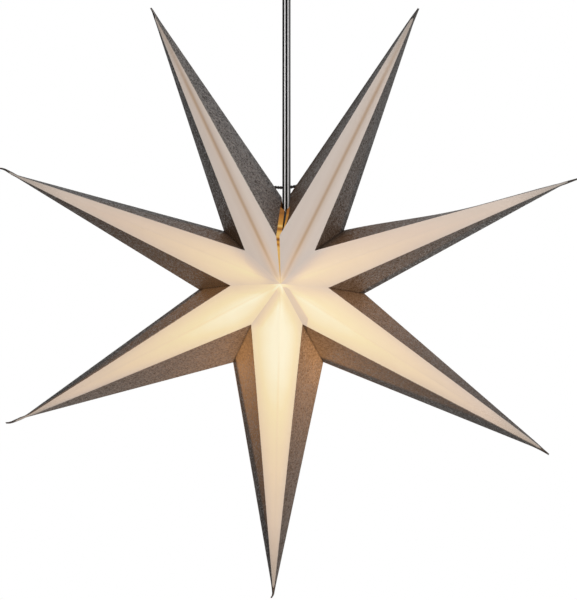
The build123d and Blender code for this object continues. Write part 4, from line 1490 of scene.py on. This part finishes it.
@dataclass
class ClosingTie:
    """Two-ply string behind the flex, with a knot inside each top point."""

    ply_radius: float = 0.65 * MM
    ply_sides: int = 8
    lay_length: float = 4.0 * MM
    lift: float = 5.2 * MM
    sag: float = 1.4 * MM
    right_rise: float = 2.4 * MM
    knot_radius: float = 1.25 * MM
    knot_turns: float = 2.5
    knot_pitch: float = 2.2
    steps: int = 90

    def coil(self, line: Array, radius: float, turns: Array) -> list[Vector]:
        """Wind a route round a line along X.

        Args:
            line: Points of the line.
            radius: Radius of the coil.
            turns: Angle at each point.

        Returns:
            Points of the route.
        """
        ring = np.stack((np.zeros_like(turns), np.cos(turns), np.sin(turns)), -1)
        return [Vector(place) for place in line + ring * radius]

    def build(self) -> Object:
        """Make the string from its two plies and its knots.

        Returns:
            The tie.
        """
        low, high = (np.array(corner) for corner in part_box("closing_tie"))
        share = np.arange(self.steps + 1) / self.steps
        line = np.repeat((low + high)[None] / 2, len(share), axis=0)
        line[:, 0] = low[0] + self.knot_radius + (high[0] - low[0] - 2 * self.knot_radius) * share
        line[:, 2] += self.lift - self.sag * 4 * share * (1 - share)
        line[:, 2] += self.right_rise * np.maximum(0.0, 2 * share - 1)
        lay = math.tau * (line[:, 0] - line[0, 0]) / self.lay_length
        sides = np.arange(self.ply_sides) * math.tau / self.ply_sides
        ring = np.stack((np.cos(sides), np.sin(sides)), -1) * self.ply_radius
        pieces = []
        for start in (0.0, math.pi):
            pieces.append(sweep(self.coil(line, self.ply_radius, lay + start), ring, "closing_string"))
        share = np.arange(self.steps // 2) / (self.steps // 2)
        along = self.ply_radius * self.knot_pitch * self.knot_turns * (share - 0.5)
        for middle in line[[0, -1]]:
            axis = middle + along[:, None] * np.array((1.0, 0.0, 0.0))
            knot = self.coil(axis, self.knot_radius, math.tau * self.knot_turns * share)
            pieces.append(sweep(knot, ring, "closing_knot"))
        with bpy.context.temp_override(active_object=pieces[0], selected_editable_objects=pieces):
            bpy.ops.object.join()
        piece = pieces[0]
        piece.data.materials.append(TIE_STRING.build())
        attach(piece, Body.STAR.value)
        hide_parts("closing_tie")
        return piece


@dataclass
class Fittings:
    """Lamp holder, bulb and ceiling fitting, whose solids stay and take a finish each."""

    frame: dict

    def dress(self) -> list[str]:
        """Give every carried-over solid the finish of its material slot.

        Returns:
            Names of the dressed nodes.
        """
        finishes = {
            "flex_pvc": FLEX_PVC, "holder_plastic": HOLDER_PLASTIC, "carrier_ceramic": STEATITE,
            "contact_brass": PRESSED_BRASS, "cap_metal": PRESSED_ALUMINIUM, "steel": ZINC_STEEL,
            "bulb_insulator_glass": VITREOUS_BLACK, "bulb_glass": BlownGlass(), "filament": LitPhosphor(),
            "canopy_enamel": CANOPY_ENAMEL, "grip_nylon": GRIP_NYLON, "block_nylon": BLOCK_NYLON,
        }
        made: dict[str, Material] = {}
        dressed = []
        for part in self.frame["record"]["subparts"]:
            node, slot = self.frame["nodes"][part["node"]], part["material_slot"]
            if node.hide_render:
                continue
            if slot not in made:
                made[slot] = finishes[slot].build()
            node.data.materials.clear()
            node.data.materials.append(made[slot])
            dressed.append(part["node"])
        return dressed


@dataclass(frozen=True)
class Softbox:
    """Rectangular soft light that faces the hub: place from it, width and height in metres, and power."""

    name: str
    offset: Triple
    size: Pair
    watts: float

    def build(self, hub: Vector) -> None:
        """Make the lamp.

        Args:
            hub: Place of the hub in the row frame.
        """
        data = bpy.data.lights.new(self.name, "AREA")
        data.shape = "RECTANGLE"
        data.size, data.size_y = self.size
        data.energy = self.watts
        lamp = bpy.data.objects.new(self.name, data)
        lamp.location = hub + Vector(self.offset)
        lamp.rotation_mode = "QUATERNION"
        lamp.rotation_quaternion = Vector(self.offset).to_track_quat("Z", "Y")
        bpy.context.scene.collection.objects.link(lamp)


@dataclass
class Studio:
    """Camera at the photograph's angle, soft lights, white surround and a pale floor."""

    hub: Vector
    azimuth: float = 4.3
    elevation: float = -3.4
    distance: float = 2.7
    mm_per_px: float = 0.765
    hub_px: Pair = (286.45, 291.0)
    floor_drop: float = 0.62
    floor_radius: float = 3.0
    floor_sides: int = 96
    surround: float = 0.42
    lamps: tuple[Softbox, ...] = (
        Softbox("overhead_softbox", (0.72, -0.4, 1.78), (1.4, 1.4), 10.0),
        Softbox("side_softbox", (2.0, -0.7, 0.6), (1.2, 1.6), 7.0),
        Softbox("front_softbox", (-0.2, -2.5, 0.4), (1.6, 1.6), 16.0),
        Softbox("back_softbox", (0.0, 2.5, -0.28), (0.8, 0.8), 16.0),
    )

    def aim(self) -> tuple[Vector, Vector, Vector]:
        """Directions of the picture.

        Returns:
            Back to the camera, right and up.
        """
        a, e = math.radians(self.azimuth), math.radians(self.elevation)
        back = Vector((math.sin(a) * math.cos(e), -math.cos(a) * math.cos(e), math.sin(e)))
        right = Vector((math.cos(a), math.sin(a), 0.0))
        return back, right, back.cross(right)

    def place_camera(self) -> None:
        """Make the camera so that the hub falls on its pixel.

        The camera itself moves, so its lens has no shift, and its focal length gives the scale at the hub.
        """
        back, right, up = self.aim()
        scale = self.mm_per_px * MM
        shift = right * ((IMAGE_MIDDLE_PX[0] - self.hub_px[0]) * scale)
        shift += up * ((self.hub_px[1] - IMAGE_MIDDLE_PX[1]) * scale)
        data = bpy.data.cameras.new("camera")
        data.lens = data.sensor_width * self.distance / (IMAGE_HEIGHT_PX * scale)
        camera = bpy.data.objects.new("camera", data)
        camera.location = self.hub + shift + back * self.distance
        camera.rotation_mode = "QUATERNION"
        camera.rotation_quaternion = (-back).to_track_quat("-Z", "Y")
        bpy.context.scene.collection.objects.link(camera)
        bpy.context.scene.camera = camera

    def light(self) -> None:
        """Set the lamps and the surround.

        The surround is white to the camera, in reflections and through glass, and dimmer as a light.
        """
        for lamp in self.lamps:
            lamp.build(self.hub)
        world = bpy.data.worlds.new("white_surround")
        bpy.context.scene.world = world
        graph = NodeGraph(world)
        strength = graph.add("Mix", (graph.seen(), self.surround, 1.0))
        sky = graph.add("Background", {"Color": WHITE, "Strength": strength})
        graph.add("OutputWorld", {"Surface": sky})

    def lay_floor(self) -> Object:
        """Make the pale round floor below the star.

        Returns:
            The floor.
        """
        height = self.hub.z - self.floor_drop
        turns = [math.tau * i / self.floor_sides for i in range(self.floor_sides)]
        rim = [(self.floor_radius * math.cos(t), self.floor_radius * math.sin(t), height) for t in turns]
        floor = new_piece("floor", rim, [tuple(range(self.floor_sides))])
        floor.data.materials.append(FloorPaint().build())
        return floor


def clear_scene() -> None:
    """Remove whatever the empty file starts with."""
    for thing in list(bpy.data.objects):
        bpy.data.objects.remove(thing)


def main() -> None:
    """Build the lantern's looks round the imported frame.

    The camera comes first, then the flex, the sheets, the tie, the fittings' finishes and the stage.
    """
    logging.basicConfig(level=logging.INFO, format="%(message)s")
    clear_scene()
    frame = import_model()
    bpy.context.scene.view_settings.view_transform = "Standard"
    turn = next(joint for joint in frame["joints"] if joint["name"] == "star_turn")
    hub = Vector(turn["pos_m"])

    studio = Studio(hub)
    studio.place_camera()
    flex_low, flex_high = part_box("cord")
    middle_z = (flex_low.z + flex_high.z) / 2
    flex = TwinFlex(((0, 0, flex_low.z), (0, 0, middle_z), (0, 0, flex_high.z))).build()
    LOG.info("flex %s", flex.name)
    filament_low, filament_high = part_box("bulb_filaments")
    for sheet in PaperStar(hub, (filament_low + filament_high) / 2).build():
        LOG.info("sheet %s with %d faces", sheet.name, len(sheet.data.polygons))
    LOG.info("tie %s", ClosingTie().build().name)
    LOG.info("dressed %s", ", ".join(Fittings(frame).dress()))
    studio.light()
    LOG.info("stage %s", studio.lay_floor().name)

    bpy.context.view_layer.update()


if __name__ == "__main__":
    main()
